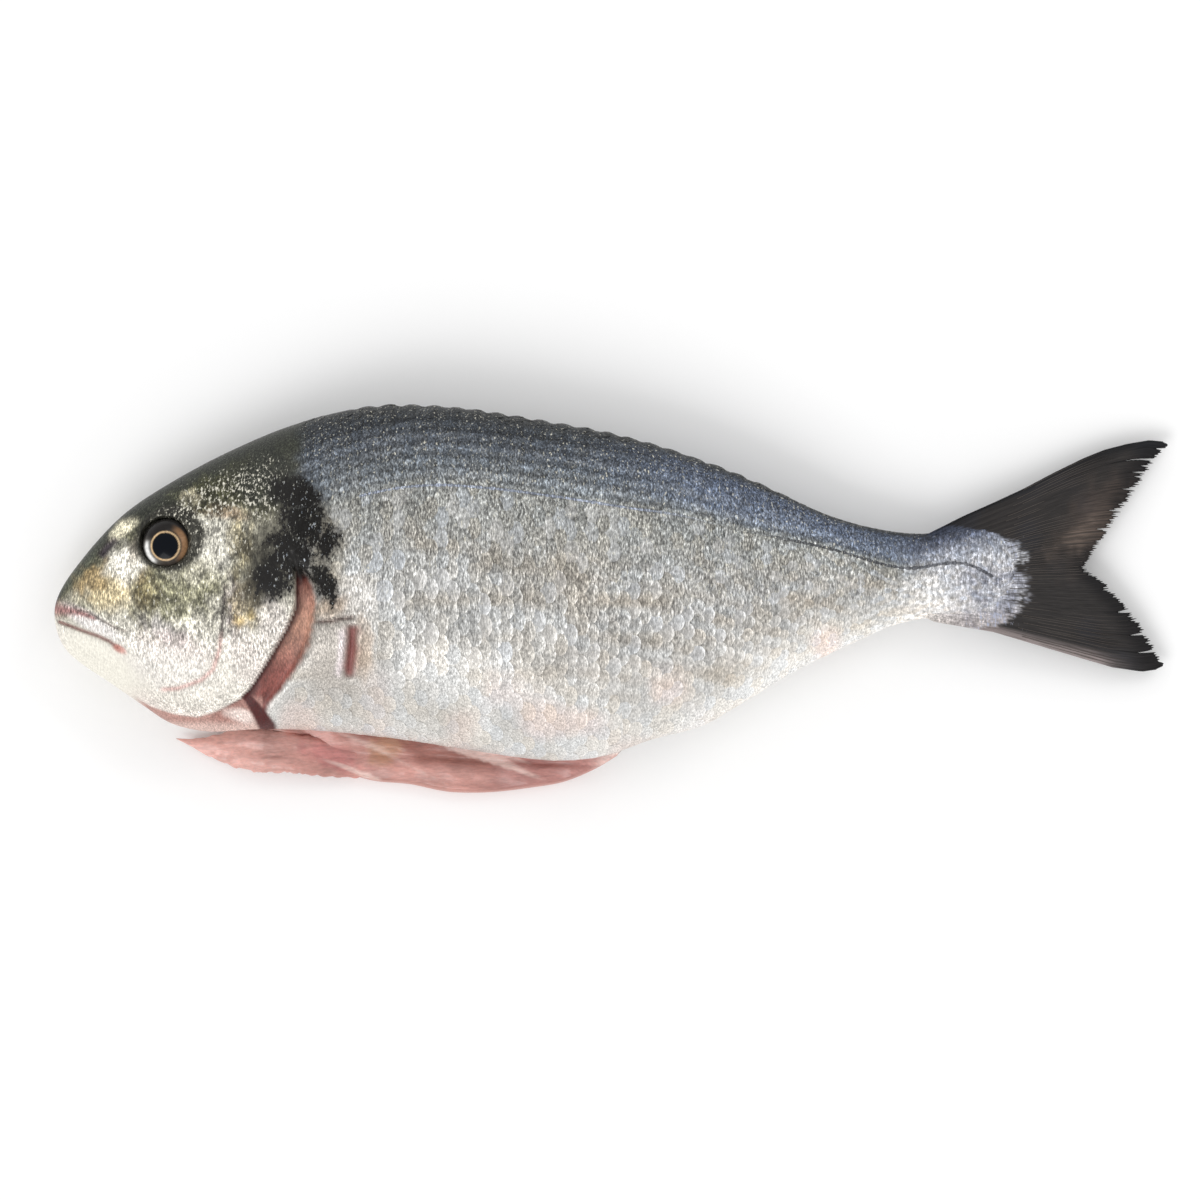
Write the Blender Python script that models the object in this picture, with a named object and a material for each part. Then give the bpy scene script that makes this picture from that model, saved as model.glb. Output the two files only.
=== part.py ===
"""Gutted sea bream, lying on its right flank.

Frame: +X from snout to tail, +Y from belly to back, +Z up. The origin is under the middle of
the fish, on the surface it lies on. Sizes are millimetres until they reach a mesh.
"""

import math

import bmesh
import bpy
import numpy as np
from mathutils import Matrix, Vector

MM = 0.001

# Driving sizes
TOTAL_LENGTH = 330.0
BODY_LENGTH = 286.0
SNOUT_X = -TOTAL_LENGTH / 2
REST_MID_HEIGHT = 18.9
TAIL_DROOP = 15.0
SNOUT_DROOP = 2.5
WALL = 3.0
WALL_SAG = 6.5
FLAP_EDGE_HEIGHT = 2.0
CAVITY_DEPTH = 24.0
UPPER_ROUNDNESS = 0.95
LOWER_ROUNDNESS = 1.1
EYE_RADIUS = 7.6
EYE_THICKNESS = 5.0
EYE_SINK = 2.9
EYE_GAP = 0.35
FIN_BASE_HALF = 2.2
FIN_TIP_HALF = 0.5
RAY_TRIM = 0.035
WEB_TRIM = 0.085

# Mesh density
RINGS = 78
RING_SPACING = ((0, 0.2), (6, 1.8), (30, 2.6), (78, 2.2), (110, 5.5), (240, 6.5), (275, 4),
                (BODY_LENGTH, 0.5))
FLANK_POINTS = 25
INNER_POINTS = 4
FIN_RAYS = 22
FIN_STEPS = 7

# Outlines as (distance behind the snout, height above the middle line of the fish)
BACK = ((0, -4), (3.25, 5.3), (8, 11.8), (12.1, 16.8), (21, 25.7), (34.3, 34.6), (52, 44), (69.7, 51.4),
        (87.4, 56.1), (105.2, 57.3), (122.9, 56.1), (140.6, 53.2), (158.4, 50.2), (176.1, 46.1),
        (193.8, 40.2), (211.5, 32.8), (229.3, 24.9), (244, 20.9), (256, 19.6), (266, 21), (275, 22),
        (281, 19.5), (286, 9))
BELLY = ((0, -4), (3.25, -14.5), (7.7, -18.6), (16.5, -24.5), (26.3, -31.2), (34.3, -36.3), (43.1, -38.6),
         (61.5, -38.2), (74, -38.5), (96.3, -40.5), (125.8, -44.9), (137.7, -46.7), (149.5, -47.6),
         (161.3, -46.4), (176.1, -41.4), (193.8, -36.2), (202.7, -30.9), (220.4, -20.4), (238.1, -11.9),
         (247, -7.9), (256, -5.6), (266, -5.4), (275, -4.9), (281, -2), (286, 9))
HALF_WIDTH = ((0, 0), (3.25, 4.4), (8, 6.6), (16, 9.2), (30, 12.9), (45, 15.6), (60, 17.7), (80, 19.5),
              (105, 20.4), (130, 20), (160, 17.8), (190, 14), (215, 10.4), (240, 7.2), (255, 5.8),
              (270, 4.4), (280, 3), (286, 0))
FLAP = ((60, -38.2), (64, -46), (70, -50.9), (78, -52), (90, -53.2), (105, -54.8), (116, -57),
        (125, -57.3), (140, -55.9), (152, -53.6), (160, -50), (170, -43.6))
CAVITY_FROM, CAVITY_FULL_FROM, CAVITY_FULL_TO, CAVITY_TO = 60.0, 74.0, 150.0, 170.0
SHUT_SHARE = 0.04
TONGUE = ((35, -41.1), (40, -42.5), (46.6, -43.7), (52, -44), (58, -44.3), (66, -44.8), (74, -46),
          (84, -48.5))
TONGUE_HALF = ((35, 0), (40, 1.2), (46.6, 3.5), (52, 5.3), (58, 6.7), (66, 6.3), (74, 5.3), (84, 0))
TONGUE_FLATNESS = 0.34

# Gill cover and shoulder edges as (height, distance behind the snout)
GILL_EDGE = ((-34.2, 42.3), (-32.2, 48.9), (-28.7, 55.6), (-24.5, 58.9), (-16.8, 63.9), (-8.6, 68.9),
             (-3, 71.4), (2, 71.8), (11, 71))
SHOULDER_EDGE = ((-38, 60.5), (-30, 63), (-25.2, 67), (-19.5, 71), (-14.5, 74), (-7, 76), (0, 76.6),
                 (11, 73.4))
CHEEK_EDGE = ((-26.5, 42), (-24, 46.5), (-19, 49), (-10, 50), (-2, 50.8), (4, 51.2))
EYE_PLACE = (33.2, 17.2)
MOUTH = ((-4, -7.6), (2, -8), (9, -9.6), (15, -11.6), (21.5, -13.9))
NOSTRIL_PLACE = (16.2, 15.8)
STUMP_SLIT = ((88.6, -7.5), (88.2, -23))

# Tail fin edges as (distance behind the snout, height)
FIN_UPPER = ((256, 18.4), (260.3, 21.9), (269, 25.7), (286.9, 33), (304.6, 42.4), (317.9, 46.6),
             (330, 47.6))
FIN_LOWER = ((256, -4.4), (260.3, -6.5), (278, -9.5), (295.7, -14.8), (313.4, -20), (322.3, -21.3),
             (328.8, -20.4))
FIN_MARGIN = ((330, 47.6), (322.2, 33.8), (313.4, 20.8), (306.8, 11), (306, 9.8), (313.4, 4.4),
              (322.3, -5.6), (326.8, -14), (328.8, -20.4))


def body_angle(distance):
    """Turns a distance behind the snout into an angle, which runs evenly round the blunt ends."""
    share = np.clip(np.asarray(distance, float) / BODY_LENGTH, 0, 1)
    return np.arccos(1 - 2 * share)


def curve_through(points, turn=lambda value: np.asarray(value, float)):
    """A smooth function through points, as a cubic with slopes taken from the neighbours."""
    knots = turn([point[0] for point in points])
    values = np.array([point[1] for point in points], float)
    slopes = np.gradient(values, knots)

    def value_at(position):
        at = np.clip(turn(position), knots[0], knots[-1])
        i = np.clip(np.searchsorted(knots, at) - 1, 0, len(knots) - 2)
        gap = knots[i + 1] - knots[i]
        t = (at - knots[i]) / gap
        return ((1 + 2 * t) * (1 - t) ** 2 * values[i] + t * (1 - t) ** 2 * gap * slopes[i]
                + t * t * (3 - 2 * t) * values[i + 1] + t * t * (t - 1) * gap * slopes[i + 1])

    return value_at


back = curve_through(BACK, body_angle)
belly = curve_through(BELLY, body_angle)
half_width = curve_through(HALF_WIDTH, body_angle)
flap_edge = curve_through(FLAP)
gill_edge = curve_through(GILL_EDGE)
shoulder_edge = curve_through(SHOULDER_EDGE)
cheek_edge = curve_through(CHEEK_EDGE)


def smooth_step(low, high, value):
    t = np.clip((np.asarray(value, float) - low) / (high - low), 0, 1)
    return t * t * (3 - 2 * t)


def mid_height(distance):
    """Height of the fish's middle sheet: the tail hangs down to the surface, the snout a little."""
    towards_tail = np.clip((distance - 140) / (TOTAL_LENGTH - 140), 0, 1)
    towards_snout = np.clip((105 - distance) / 105, 0, 1)
    return REST_MID_HEIGHT - TAIL_DROOP * towards_tail**1.7 - SNOUT_DROOP * towards_snout**2


def cavity_share(distance):
    share = (smooth_step(CAVITY_FROM, CAVITY_FULL_FROM, distance)
             * (1 - smooth_step(CAVITY_FULL_TO, CAVITY_TO, distance)))
    return np.where(share < SHUT_SHARE, 0.0, share)


def flank_relief(distance, height):
    """Height of the carved forms above the plain flank."""
    behind_gill = distance - gill_edge(height)
    before_shoulder = shoulder_edge(height) - distance
    in_gill_range = 1 - smooth_step(5, 11, height)
    trough = (smooth_step(-0.3, 0.7, behind_gill) * smooth_step(-3.2, 1.2, before_shoulder)
              * smooth_step(-45, -38, height))
    cover_bulge = (1 - smooth_step(-14, -2, behind_gill)) * smooth_step(-26, -14, behind_gill)
    behind_cheek = distance - cheek_edge(height)
    cheek = (smooth_step(-9, -0.5, behind_cheek) * (1 - smooth_step(0, 1.6, behind_cheek))
             * smooth_step(-29, -24, height) * (1 - smooth_step(0, 6, height)))
    pad = np.exp(-((distance - 82) / 5.5) ** 2 - ((height + 14) / 8) ** 2)
    brow = np.exp(-((distance - 29) / 9) ** 2 - ((height - 27) / 3.2) ** 2)
    gill = (0.7 * cover_bulge - 3.4 * trough) * in_gill_range
    return gill + 0.6 * cheek + 0.8 * pad + 0.5 * brow


def flank_points(distance, side, count):
    """Points (height, z) from the back edge to the belly edge, on the upper (+1) or lower (-1) flank."""
    top = float(back(distance))
    share = float(cavity_share(distance))
    edge = float(belly(distance))
    if side < 0 and share > 0:
        edge = min(edge, float(flap_edge(distance)))
    centre = 0.53 * top + 0.47 * float(belly(distance))
    width = float(half_width(distance))
    middle = float(mid_height(distance))
    angle = np.linspace(0, math.pi, count)
    reach = np.where(angle < math.pi / 2, top - centre, centre - edge)
    height = centre + reach * np.cos(angle)
    roundness = np.where(angle < math.pi / 2, UPPER_ROUNDNESS, LOWER_ROUNDNESS)
    swell = width * np.clip(np.sin(angle), 0, 1) ** roundness
    relief = flank_relief(distance, height) * np.sin(angle) ** 0.6
    swell = np.maximum(swell + relief, 0.4 * swell)
    near_belly = smooth_step(1.9, math.pi, angle)
    if side > 0:
        z = middle + swell - WALL_SAG * share * near_belly
    else:
        z = middle - swell - (middle - FLAP_EDGE_HEIGHT) * share * near_belly
    return [(float(y), max(float(level), 0.0)) for y, level in zip(height, z)]


def inner_points(distance, left_edge, right_edge):
    """Points up the inside of the left wall to the cavity's roof, and down the inside of the right wall."""
    share = float(cavity_share(distance))
    roof = (left_edge[0] + CAVITY_DEPTH * share, left_edge[1] - 2.0 * share)
    left_lip = (left_edge[0] + 0.4 * share, left_edge[1] - WALL * 0.6 * share)
    right_lip = (right_edge[0] + 0.8 * share, right_edge[1] + WALL * share)
    right_mid = (left_edge[0] + 4 * share, left_edge[1] - 5 * share)
    points = []
    for t in np.linspace(0, 1, INNER_POINTS):
        points.append((left_lip[0] + (roof[0] - left_lip[0]) * t,
                       left_lip[1] + (roof[1] - left_lip[1]) * t + 0.8 * share * math.sin(math.pi * t)))
    for t in np.linspace(0, 1, INNER_POINTS + 1)[1:]:
        first = [(1 - t) * a + t * b for a, b in zip(roof, right_mid)]
        second = [(1 - t) * a + t * b for a, b in zip(right_mid, right_lip)]
        points.append(tuple((1 - t) * a + t * b for a, b in zip(first, second)))
    return points


def body_ring(distance):
    """One closed cross-section: left flank, open belly, right flank."""
    left = flank_points(distance, 1, FLANK_POINTS)
    right = flank_points(distance, -1, FLANK_POINTS)
    ring = left + inner_points(distance, left[-1], right[-1]) + right[:0:-1]
    return [(SNOUT_X + distance, y, z) for y, z in ring]


def stations(count):
    """Distances behind the snout: close together at the nose, head and tail root."""
    fine = np.linspace(0.02, BODY_LENGTH - 0.02, 3000)
    places, gaps = zip(*RING_SPACING)
    spacing = np.interp(fine, places, gaps)
    travelled = np.cumsum(1 / spacing)
    return np.interp(np.linspace(travelled[0], travelled[-1], count), travelled, fine)


def loft(name, rings, capped=True, weld=0.02):
    """A closed skin over rings of equal length. Capped ends are drawn in to their middles."""
    shape = bmesh.new()
    rows = [[shape.verts.new(Vector(point) * MM) for point in ring] for ring in rings]
    for row, following in zip(rows, rows[1:]):
        for i in range(len(row)):
            j = (i + 1) % len(row)
            shape.faces.new((row[i], row[j], following[j], following[i]))
    for row in (rows[0], rows[-1]) if capped else ():
        middle = shape.verts.new(sum((vertex.co for vertex in row), Vector()) / len(row))
        for i in range(len(row)):
            shape.faces.new((row[i], row[(i + 1) % len(row)], middle))
    bmesh.ops.remove_doubles(shape, verts=shape.verts, dist=weld * MM)
    bmesh.ops.triangulate(shape, faces=shape.faces)
    bmesh.ops.recalc_face_normals(shape, faces=shape.faces)
    mesh = bpy.data.meshes.new(name)
    shape.to_mesh(mesh)
    shape.free()
    return bpy.data.objects.new(name, mesh)


def fin_point(across, along):
    """A point (distance, height) of the tail fin: across 0 is the upper edge, along 1 the rear margin."""
    upper = edge_point(FIN_UPPER, along)
    lower = edge_point(FIN_LOWER, along)
    root = edge_point((FIN_UPPER[0], FIN_LOWER[0]), across)
    margin = edge_point(FIN_MARGIN, across)
    straight_upper = mix(FIN_UPPER[0], FIN_UPPER[-1], along)
    straight_lower = mix(FIN_LOWER[0], FIN_LOWER[-1], along)
    plain = mix(root, margin, along)
    return tuple(plain[k] + (1 - across) ** 2 * (upper[k] - straight_upper[k])
                 + across**2 * (lower[k] - straight_lower[k]) for k in (0, 1))


def mix(first, second, share):
    return tuple((1 - share) * a + share * b for a, b in zip(first, second))


def edge_point(points, share):
    """The point that far along a line through points, by length."""
    steps = [math.dist(a, b) for a, b in zip(points, points[1:])]
    left = share * sum(steps)
    for a, b, step in zip(points, points[1:], steps):
        if left <= step:
            return mix(a, b, left / step)
        left -= step
    return points[-1]


def tail_fin():
    """Rays fan out from the root, each a low ridge with a ragged end."""
    columns = 2 * FIN_RAYS + 1
    rings = []
    for step in range(FIN_STEPS + 1):
        along = step / FIN_STEPS
        upper, lower = [], []
        for column in range(columns):
            is_ray = column % 2 == 0
            trim = (RAY_TRIM if is_ray else WEB_TRIM) * (1 + 0.5 * math.sin(7.3 * column))
            trim *= 0 < column < columns - 1
            distance, height = fin_point(column / (columns - 1), along * (1 - trim))
            half = FIN_BASE_HALF + (FIN_TIP_HALF - FIN_BASE_HALF) * along**0.6
            half *= 1.25 if is_ray else 0.8
            half *= 0.3 if column in (0, columns - 1) else 1
            half *= 0 < step < FIN_STEPS
            level = float(mid_height(distance))
            upper.append((SNOUT_X + distance, height, level + half))
            lower.append((SNOUT_X + distance, height, level - half))
        rings.append(upper + lower[::-1])
    return loft("tail_fin", rings, capped=False, weld=0.001)


def flesh_tongue():
    """The pointed strip of throat flesh that lies forward of the cut."""
    centre_line = curve_through(TONGUE)
    half = curve_through(TONGUE_HALF)
    rings = []
    for distance in np.linspace(TONGUE[0][0] + 0.4, TONGUE[-1][0] - 0.4, 15):
        middle, reach = float(centre_line(distance)), float(half(distance))
        level = 2.6 + 1.6 * float(smooth_step(50, 70, distance))
        ring = []
        for turn in np.linspace(0, 2 * math.pi, 12, endpoint=False):
            thickness = TONGUE_FLATNESS * reach * (1 + 0.12 * math.sin(0.5 * distance + 2 * turn))
            ring.append((SNOUT_X + distance, middle + reach * math.cos(turn),
                         level + thickness * math.sin(turn)))
        rings.append(ring)
    return loft("flesh_tongue", rings)


def surface_point(distance, height, side):
    """A point on the flank and the way its skin faces, found from the section's own shape."""
    section = flank_points(distance, side, 181)
    heights = [point[0] for point in section][::-1]
    levels = [point[1] for point in section][::-1]
    further = [point[1] for point in flank_points(distance + 2, side, 181)][::-1]
    further_heights = [point[0] for point in flank_points(distance + 2, side, 181)][::-1]
    z = np.interp(height, heights, levels)
    slope_y = (np.interp(height + 1, heights, levels) - np.interp(height - 1, heights, levels)) / 2
    slope_x = (np.interp(height, further_heights, further) - z) / 2
    facing = Vector((-slope_x, -slope_y, 1)) * side
    return Vector((SNOUT_X + distance, height, z)), facing.normalized()


def eyeball(name, side, gap=0.0):
    """A flattened ball sunk in the head, with its short axis along the way the skin faces."""
    point, facing = surface_point(*EYE_PLACE, side)
    centre = (point - facing * EYE_SINK) * MM
    turn = facing.to_track_quat("Z", "Y").to_matrix().to_4x4()
    size = Matrix.Diagonal(((EYE_RADIUS + gap) * MM, (EYE_RADIUS + gap) * MM, (EYE_THICKNESS + gap) * MM, 1))
    shape = bmesh.new()
    bmesh.ops.create_uvsphere(shape, u_segments=24, v_segments=12, radius=1,
                              matrix=Matrix.Translation(centre) @ turn @ size)
    mesh = bpy.data.meshes.new(name)
    shape.to_mesh(mesh)
    shape.free()
    return bpy.data.objects.new(name, mesh)


def slot_cutter(name, line, widths, depth, side):
    """A wedge that follows a line on the flank and reaches depth below the skin."""
    rings = []
    for (distance, height), width, next_point in zip(line, widths, line[1:] + line[-1:]):
        before = line[max(line.index((distance, height)) - 1, 0)]
        run = Vector((next_point[0] - before[0], next_point[1] - before[1])).normalized()
        across = Vector((-run.y, run.x)) * width / 2
        point, _ = surface_point(max(distance, 0.5), height, side)
        bottom, top = point.z - side * depth, point.z + side * 6
        rings.append([(SNOUT_X + distance + sign * across.x, height + sign * across.y, level)
                      for sign, level in ((1, bottom), (1, top), (-1, top), (-1, bottom))])
    return loft(name, rings)


def pit_cutter(name, place, radii, turn_deg, side):
    """A shallow oval pit."""
    point, facing = surface_point(*place, side)
    aim = facing.to_track_quat("Z", "Y").to_matrix().to_4x4()
    aim = aim @ Matrix.Rotation(math.radians(turn_deg), 4, "Z")
    size = Matrix.Diagonal((*(radius * MM for radius in radii), 1))
    shape = bmesh.new()
    bmesh.ops.create_uvsphere(shape, u_segments=12, v_segments=6, radius=1,
                              matrix=Matrix.Translation(point * MM) @ aim @ size)
    mesh = bpy.data.meshes.new(name)
    shape.to_mesh(mesh)
    shape.free()
    return bpy.data.objects.new(name, mesh)


def finish_material(name, colour, roughness, metallic=0.0):
    material = bpy.data.materials.new(name)
    material.use_nodes = True
    shader = material.node_tree.nodes["Principled BSDF"]
    shader.inputs["Base Color"].default_value = (*colour, 1)
    shader.inputs["Roughness"].default_value = roughness
    shader.inputs["Metallic"].default_value = metallic
    return material


def shape_boolean(target, operation, collection):
    modifier = target.modifiers.new(operation.lower(), "BOOLEAN")
    modifier.operation = operation
    modifier.operand_type = "COLLECTION"
    modifier.collection = collection
    modifier.solver = "EXACT"


def new_collection(name, members, helper=False):
    collection = bpy.data.collections.new(name)
    bpy.context.scene.collection.children.link(collection)
    for member in members:
        collection.objects.link(member)
        if helper:
            member.hide_render = True
            member.display_type = "WIRE"
    return collection


def bake_shape(target):
    """Keeps the evaluated shape and drops the modifiers."""
    bpy.context.view_layer.update()
    graph = bpy.context.evaluated_depsgraph_get()
    made = bpy.data.meshes.new_from_object(target.evaluated_get(graph))
    target.modifiers.clear()
    target.data = made


def main():
    for leftover in list(bpy.data.objects):
        bpy.data.objects.remove(leftover)

    fish = loft("bream", [body_ring(float(distance)) for distance in stations(RINGS)])
    left_eye = eyeball("eye_left", 1)
    right_eye = eyeball("eye_right", -1)
    new_collection("sea_bream", [fish, left_eye, right_eye])

    joined = [tail_fin(), flesh_tongue()]
    joins = new_collection("joins", joined, helper=True)
    shape_boolean(fish, "UNION", joins)

    cutters = []
    for side, label in ((1, "left"), (-1, "right")):
        cutters.append(eyeball("socket_" + label, side, EYE_GAP))
        cutters.append(slot_cutter("stump_" + label, STUMP_SLIT, (2.6, 1.4), 1.8, side))
        cutters.append(slot_cutter("lips_" + label, MOUTH, (1.6, 1.5, 1.3, 1.1, 0.7), 2.2, side))
        cutters.append(pit_cutter("nostril_" + label, NOSTRIL_PLACE, (1.3, 3.2, 1.2), -38, side))
    cuts = new_collection("cuts", cutters, helper=True)
    shape_boolean(fish, "DIFFERENCE", cuts)
    bake_shape(fish)
    for helper in joined + cutters:
        bpy.data.objects.remove(helper)

    fish.data.materials.clear()
    fish.data.materials.append(finish_material("silver_skin", (0.55, 0.56, 0.55), 0.35, 0.2))
    fish.data.shade_smooth()
    fish.data.set_sharp_from_angle(angle=math.radians(40))
    eye_finish = finish_material("wet_eye", (0.02, 0.02, 0.03), 0.08)
    for eye in (left_eye, right_eye):
        eye.data.materials.append(eye_finish)
        eye.data.shade_smooth()


main()
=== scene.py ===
"""Looks of a gutted sea bream that lies on its right flank.

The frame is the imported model's: +X from snout to tail, +Y from belly to back, +Z up. Sizes in the
classes are millimetres until they reach a mesh. A distance is counted behind the snout, and a
height from the middle line of the fish, both as seen from straight above.
"""

import logging
import math
from dataclasses import dataclass
from enum import Enum

import bmesh
import bpy
import numpy as np
from mathutils import Matrix, Vector


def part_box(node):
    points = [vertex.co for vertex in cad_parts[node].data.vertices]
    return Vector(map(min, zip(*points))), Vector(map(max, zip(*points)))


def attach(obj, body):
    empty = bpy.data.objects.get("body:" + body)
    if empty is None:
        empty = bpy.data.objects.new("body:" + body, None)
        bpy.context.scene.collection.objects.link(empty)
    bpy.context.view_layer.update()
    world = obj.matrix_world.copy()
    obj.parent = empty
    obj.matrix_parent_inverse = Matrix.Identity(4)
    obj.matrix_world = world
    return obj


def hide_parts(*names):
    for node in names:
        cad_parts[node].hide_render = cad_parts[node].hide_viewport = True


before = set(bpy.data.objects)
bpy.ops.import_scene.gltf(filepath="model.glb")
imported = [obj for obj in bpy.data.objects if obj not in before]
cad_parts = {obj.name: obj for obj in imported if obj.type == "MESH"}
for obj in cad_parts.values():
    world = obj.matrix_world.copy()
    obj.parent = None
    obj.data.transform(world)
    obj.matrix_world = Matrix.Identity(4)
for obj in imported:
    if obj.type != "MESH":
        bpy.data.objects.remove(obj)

LOG = logging.getLogger("sea_bream")
MM = 0.001
Pair = tuple[float, float]
Colour = tuple[float, float, float]
Band = tuple[float, Colour]
Array = np.ndarray
Socket = bpy.types.NodeSocket
Node = bpy.types.Node
Piece = bpy.types.Object


class Side(Enum):
    """The two flanks. The left one is up."""

    LEFT = 1
    RIGHT = -1

    @property
    def label(self) -> str:
        """The side's name in piece names."""
        return self.name.lower()


def ease(low: float, high: float, value: Array) -> Array:
    """A soft ramp.

    Args:
        low: Where the ramp starts, at 0.
        high: Where it ends, at 1.
        value: The values to look up.

    Returns:
        The ramp's height at each value.
    """
    t = np.clip((np.asarray(value, float) - low) / (high - low), 0, 1)
    return t * t * (3 - 2 * t)


def linear(colour: Colour) -> Array:
    """Scene-linear values of a display colour given as 0 to 255."""
    share = np.array(colour, float) / 255
    return np.where(share <= 0.04045, share / 12.92, ((share + 0.055) / 1.055) ** 2.4)


def plain_tint(colour: Colour, like: Array) -> Array:
    """One display colour for every place of an array."""
    return np.broadcast_to(linear(colour), (*np.shape(like), 3)).copy()


def soft_noise(first: Array, second: Array, size: float, seed: int) -> Array:
    """Smooth value noise over two coordinates.

    Args:
        first: One coordinate, in millimetres.
        second: The other one.
        size: Spacing of the noise's knots.
        seed: Picks the pattern.

    Returns:
        Values from 0 to 1.
    """
    across = np.asarray(first, float) / size
    along = np.asarray(second, float) / size
    column, row = np.floor(across), np.floor(along)
    u, v = ease(0, 1, across - column), ease(0, 1, along - row)

    def knot(i: Array, j: Array) -> Array:
        """A fixed random value for a knot."""
        mixed = np.sin(i * 127.1 + j * 311.7 + seed * 74.7) * 43758.5453
        return mixed - np.floor(mixed)

    near = knot(column, row) * (1 - u) + knot(column + 1, row) * u
    far = knot(column, row + 1) * (1 - u) + knot(column + 1, row + 1) * u
    return near * (1 - v) + far * v


@dataclass(frozen=True)
class Profile:
    """A smooth curve through points, a cubic with slopes from the neighbours.

    With round_length set, the curve is even in angle round the blunt ends of a body of that length.
    """

    points: tuple[Pair, ...]
    round_length: float = 0.0

    def turned(self, at: Array) -> Array:
        """The abscissa in which the curve is a cubic.

        Args:
            at: Where to look.

        Returns:
            The angle, or at itself on a plain curve.
        """
        at = np.asarray(at, float)
        if not self.round_length:
            return at
        return np.arccos(1 - 2 * np.clip(at / self.round_length, 0, 1))

    def __call__(self, at: Array) -> Array:
        """The curve's value at each abscissa.

        Args:
            at: Where to look.

        Returns:
            The curve's values.
        """
        knots = self.turned(np.array([point[0] for point in self.points]))
        values = np.array([point[1] for point in self.points], float)
        slopes = np.gradient(values, knots)
        where = np.clip(self.turned(at), knots[0], knots[-1])
        i = np.clip(np.searchsorted(knots, where) - 1, 0, len(knots) - 2)
        gap = knots[i + 1] - knots[i]
        t = (where - knots[i]) / gap
        start = (1 + 2 * t) * (1 - t) ** 2 * values[i] + t * (1 - t) ** 2 * gap * slopes[i]
        return start + t * t * (3 - 2 * t) * values[i + 1] + t * t * (t - 1) * gap * slopes[i + 1]


@dataclass(frozen=True)
class SkinLine:
    """A line on the flank, as (distance, height) points, such as a groove or a free edge."""

    points: tuple[Pair, ...]

    def offset(self, distance: Array, height: Array) -> tuple[Array, Array]:
        """How far places are off the line.

        Args:
            distance: Distances behind the snout.
            height: Heights above the middle line.

        Returns:
            Millimetres off the line, positive on its left, and the share of the line passed.
        """
        best = np.full(np.shape(distance), 1e9)
        signed = np.zeros_like(best)
        share = np.zeros_like(best)
        count = len(self.points) - 1
        for step, (start, end) in enumerate(zip(self.points, self.points[1:])):
            run, rise = end[0] - start[0], end[1] - start[1]
            east, north = distance - start[0], height - start[1]
            t = np.clip((east * run + north * rise) / (run * run + rise * rise), 0, 1)
            off = np.hypot(east - t * run, north - t * rise)
            turn = np.where(run * north - rise * east < 0, -1.0, 1.0)
            closer = off < best
            best = np.where(closer, off, best)
            signed = np.where(closer, off * turn, signed)
            share = np.where(closer, (step + t) / count, share)
        return signed, share

    def groove(self, distance: Array, height: Array, width: float, fade: float = 0.12) -> Array:
        """1 on the line, falling to 0 over width to each side and towards both ends.

        Args:
            distance: Distances behind the snout.
            height: Heights above the middle line.
            width: Half width of the line, in millimetres.
            fade: Share of the line over which each end fades.

        Returns:
            Values from 0 to 1.
        """
        off, share = self.offset(distance, height)
        ends = ease(0, fade, share) * ease(0, fade, 1 - share)
        return np.exp(-((off / width) ** 2)) * ends


@dataclass(frozen=True)
class Patch:
    """A soft oval on the flank.

    Its ragged share says how far noise eats into its edge, and tint is a display colour.
    """

    place: Pair
    radii: Pair
    turn: float = 0.0
    soft: float = 0.5
    ragged: float = 0.0
    tint: Colour = (0, 0, 0)
    strength: float = 1.0

    def mask(self, distance: Array, height: Array) -> Array:
        """1 inside the patch, 0 outside it.

        Args:
            distance: Distances behind the snout.
            height: Heights above the middle line.

        Returns:
            Values from 0 to 1.
        """
        angle = math.radians(self.turn)
        east, north = distance - self.place[0], height - self.place[1]
        first = (east * math.cos(angle) + north * math.sin(angle)) / self.radii[0]
        second = (north * math.cos(angle) - east * math.sin(angle)) / self.radii[1]
        off = np.hypot(first, second)
        if self.ragged:
            seed = int(self.place[0] * 7 + self.place[1])
            torn = soft_noise(distance, height * 0.7, 2.6, seed) - 0.5
            torn = torn + 0.7 * (soft_noise(distance, height * 0.6, 1.2, seed + 1) - 0.5)
            off = off + self.ragged * torn
        return 1 - ease(1 - self.soft, 1 + self.soft, off)


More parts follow.
